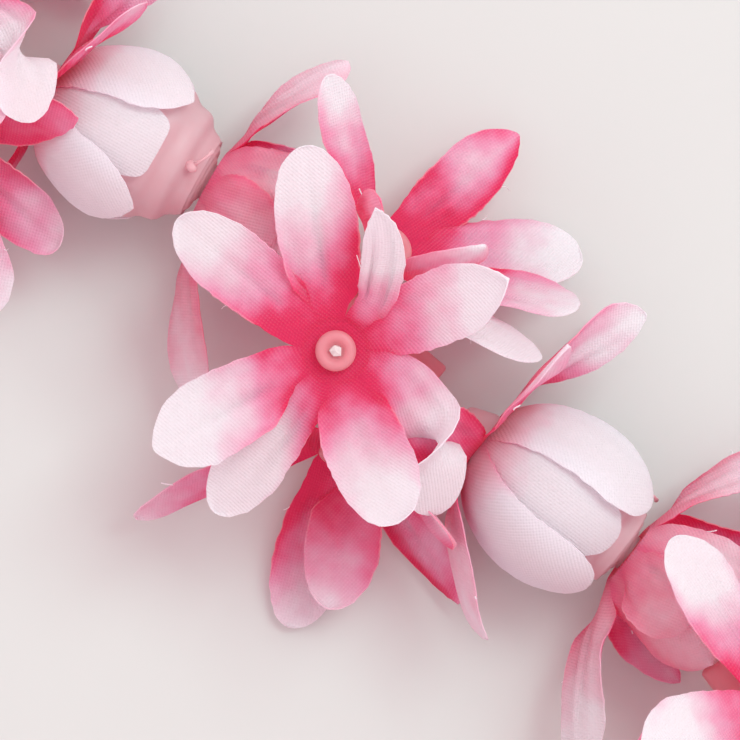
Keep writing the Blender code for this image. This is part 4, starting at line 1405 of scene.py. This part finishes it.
class LEI_OT_sprays(bpy.types.Operator):
    """Make each spray: three cloth stars, and the moulded stem that carries them"""

    bl_idname = "lei.sprays"
    bl_label = "Sprays"

    def execute(self, context):
        settings = context.scene.lei_plastic
        plastic = plastic_material("moulded_polyethylene_stem", settings.stem, settings.stem_cloud)
        core = core_material()
        sides = settings.stem_sides
        half = (SLEEVE_TO - SLEEVE_FROM) / 2
        tube = [
            (BORE_RADIUS, -half), (TUBE_RADIUS - TUBE_EDGE, -half), (TUBE_RADIUS, TUBE_EDGE - half),
            (TUBE_RADIUS, half - TUBE_EDGE), (TUBE_RADIUS - TUBE_EDGE, half), (BORE_RADIUS, half),
        ]
        laid = lay_out()
        for repeat, stars in enumerate(laid.sprays):
            draw = random.Random(f"stem {repeat}")
            wanted = [(row[0], repeat, star, STAR_HOLE) for star, row in zip(stars, SPRAY)]
            cloth_piece(f"spray_cloth_{repeat}", f"spray_{repeat}", wanted)
            bm = bmesh.new()
            plugs = bmesh.new()
            sleeve = laid.sleeves[repeat]
            lying = star_place(sleeve, Vector((0, 0, 0)), FORWARD, UP)
            add_turned(bm, tube, 2 * sides, lying)
            for star, (_, _, hub, facing, _) in zip(stars, SPRAY):
                points = branch_line(hub, facing, SMOOTH_STEPS)
                add_tube(bm, points, [BRANCH_RADIUS] * len(points), sides, sleeve)
                add_turned(bm, stem_socket(), 2 * sides, star.place)
                add_plug(plugs, star.place, draw)
            finished(f"spray_stem_{repeat}", bm, [plastic], f"spray_{repeat}")
            finished(f"stem_cores_{repeat}", plugs, [core], f"spray_{repeat}")
        return {"FINISHED"}


class LEI_OT_cord(bpy.types.Operator):
    """Make the cord that runs through every tube, in three strands"""

    bl_idname = "lei.cord"
    bl_label = "Cord"

    def execute(self, context):
        settings = context.scene.lei_cord
        corners = lay_out().cord
        lengths = [
            (corners[(index + 1) % len(corners)] - corner).length for index, corner in enumerate(corners)
        ]
        total = sum(lengths)
        steps = settings.turns * STEPS_A_TURN
        centres = []
        index, passed = 0, 0
        for step in range(steps):
            wanted = total * step / steps
            while passed + lengths[index] < wanted:
                passed += lengths[index]
                index += 1
            share = (wanted - passed) / lengths[index]
            centres.append(corners[index].lerp(corners[(index + 1) % len(corners)], share))
        bm = bmesh.new()
        lie = CORD_RADIUS - settings.strand
        for strand in range(STRANDS):
            points = []
            for step, centre in enumerate(centres):
                along = (centres[(step + 1) % steps] - centres[step - 1]).normalized()
                side = UP.cross(along).normalized()
                angle = math.tau * (settings.turns * step / steps + strand / STRANDS)
                points.append(centre + (side * math.cos(angle) + along.cross(side) * math.sin(angle)) * lie)
            add_tube(bm, points, [settings.strand] * steps, STRAND_SIDES, Matrix(), cyclic=True)
        finished("twisted_cord", bm, [cord_material()], "cord")
        return {"FINISHED"}


# The photograph looks straight down on the first repeat
VIEW_TURN = math.radians(41)
VIEW_HEIGHT = 0.6
VIEW_WIDTH = 0.1194
VIEW_SHIFT = -5.4 * MM
SENSOR = 36
KEY_DISTANCE = 3
KEY_SIZE = 1.4
KEY_DIRECTION = Vector((0.06, 0.72, 0.92)).normalized()
FLOOR_HALF = 3


class LEI_OT_stage(bpy.types.Operator):
    """Make the floor, the light and the camera"""

    bl_idname = "lei.stage"
    bl_label = "Stage"

    def execute(self, context):
        settings = context.scene.lei_stage
        scene = context.scene
        centre = loop_point(loop_points(), 0) + Vector((0, VIEW_SHIFT, 0))
        mesh = bpy.data.meshes.new("floor")
        bm = bmesh.new()
        bmesh.ops.create_grid(bm, x_segments=1, y_segments=1, size=FLOOR_HALF)
        bm.to_mesh(mesh)
        bm.free()
        mesh.materials.append(floor_material())
        floor = bpy.data.objects.new("floor", mesh)

        lens = bpy.data.cameras.new("camera")
        lens.sensor_width = SENSOR
        lens.lens = SENSOR * VIEW_HEIGHT / VIEW_WIDTH
        lens.clip_start = 0.01
        camera = bpy.data.objects.new("camera", lens)
        camera.location = centre + UP * VIEW_HEIGHT
        camera.rotation_euler = (0, 0, VIEW_TURN)

        lamp = bpy.data.lights.new("key", "AREA")
        lamp.shape = "SQUARE"
        lamp.size = KEY_SIZE
        lamp.energy = settings.key
        lamp.color = linear("D8FFF7")[:3]
        key = bpy.data.objects.new("key", lamp)
        key.location = centre + KEY_DIRECTION * KEY_DISTANCE
        key.rotation_euler = KEY_DIRECTION.to_track_quat("Z", "Y").to_euler()
        for thing in (floor, camera, key):
            scene.collection.objects.link(thing)
        scene.camera = camera

        world = bpy.data.worlds.new("studio")
        world.use_nodes = True
        background = world.node_tree.nodes["Background"]
        background.inputs["Color"].default_value = linear("FFE8EC")
        background.inputs["Strength"].default_value = settings.fill
        scene.world = world
        scene.view_settings.view_transform = "Standard"
        return {"FINISHED"}


class LEI_PT_panel(bpy.types.Panel):
    """The lei's settings and steps"""

    bl_label = "Cloth Flower Lei"
    bl_space_type = "VIEW_3D"
    bl_region_type = "UI"
    bl_category = "Lei"

    def draw(self, context):
        for name in SETTINGS:
            box = self.layout.box()
            group = getattr(context.scene, name)
            for setting in group.__annotations__:
                box.prop(group, setting)
        for operator in OPERATORS:
            self.layout.operator(operator.bl_idname)


SETTINGS = {
    "lei_cloth": LeiClothSettings,
    "lei_plastic": LeiPlasticSettings,
    "lei_cord": LeiCordSettings,
    "lei_stage": LeiStageSettings,
}
OPERATORS = [LEI_OT_stage, LEI_OT_bells, LEI_OT_blossoms, LEI_OT_mouth_stars, LEI_OT_sprays, LEI_OT_cord]


def register():
    """Adds the settings, the steps and the panel."""
    for name, group in SETTINGS.items():
        bpy.utils.register_class(group)
        setattr(bpy.types.Scene, name, PointerProperty(type=group))
    for operator in OPERATORS:
        bpy.utils.register_class(operator)
    bpy.utils.register_class(LEI_PT_panel)


def unregister():
    """Takes them away again."""
    bpy.utils.unregister_class(LEI_PT_panel)
    for operator in reversed(OPERATORS):
        bpy.utils.unregister_class(operator)
    for name, group in reversed(SETTINGS.items()):
        delattr(bpy.types.Scene, name)
        bpy.utils.unregister_class(group)


def main():
    """Dresses the lei."""
    register()
    bpy.ops.lei.stage()
    bpy.ops.lei.bells()
    bpy.ops.lei.blossoms()
    bpy.ops.lei.mouth_stars()
    bpy.ops.lei.sprays()
    bpy.ops.lei.cord()


if __name__ == "__main__":
    main()
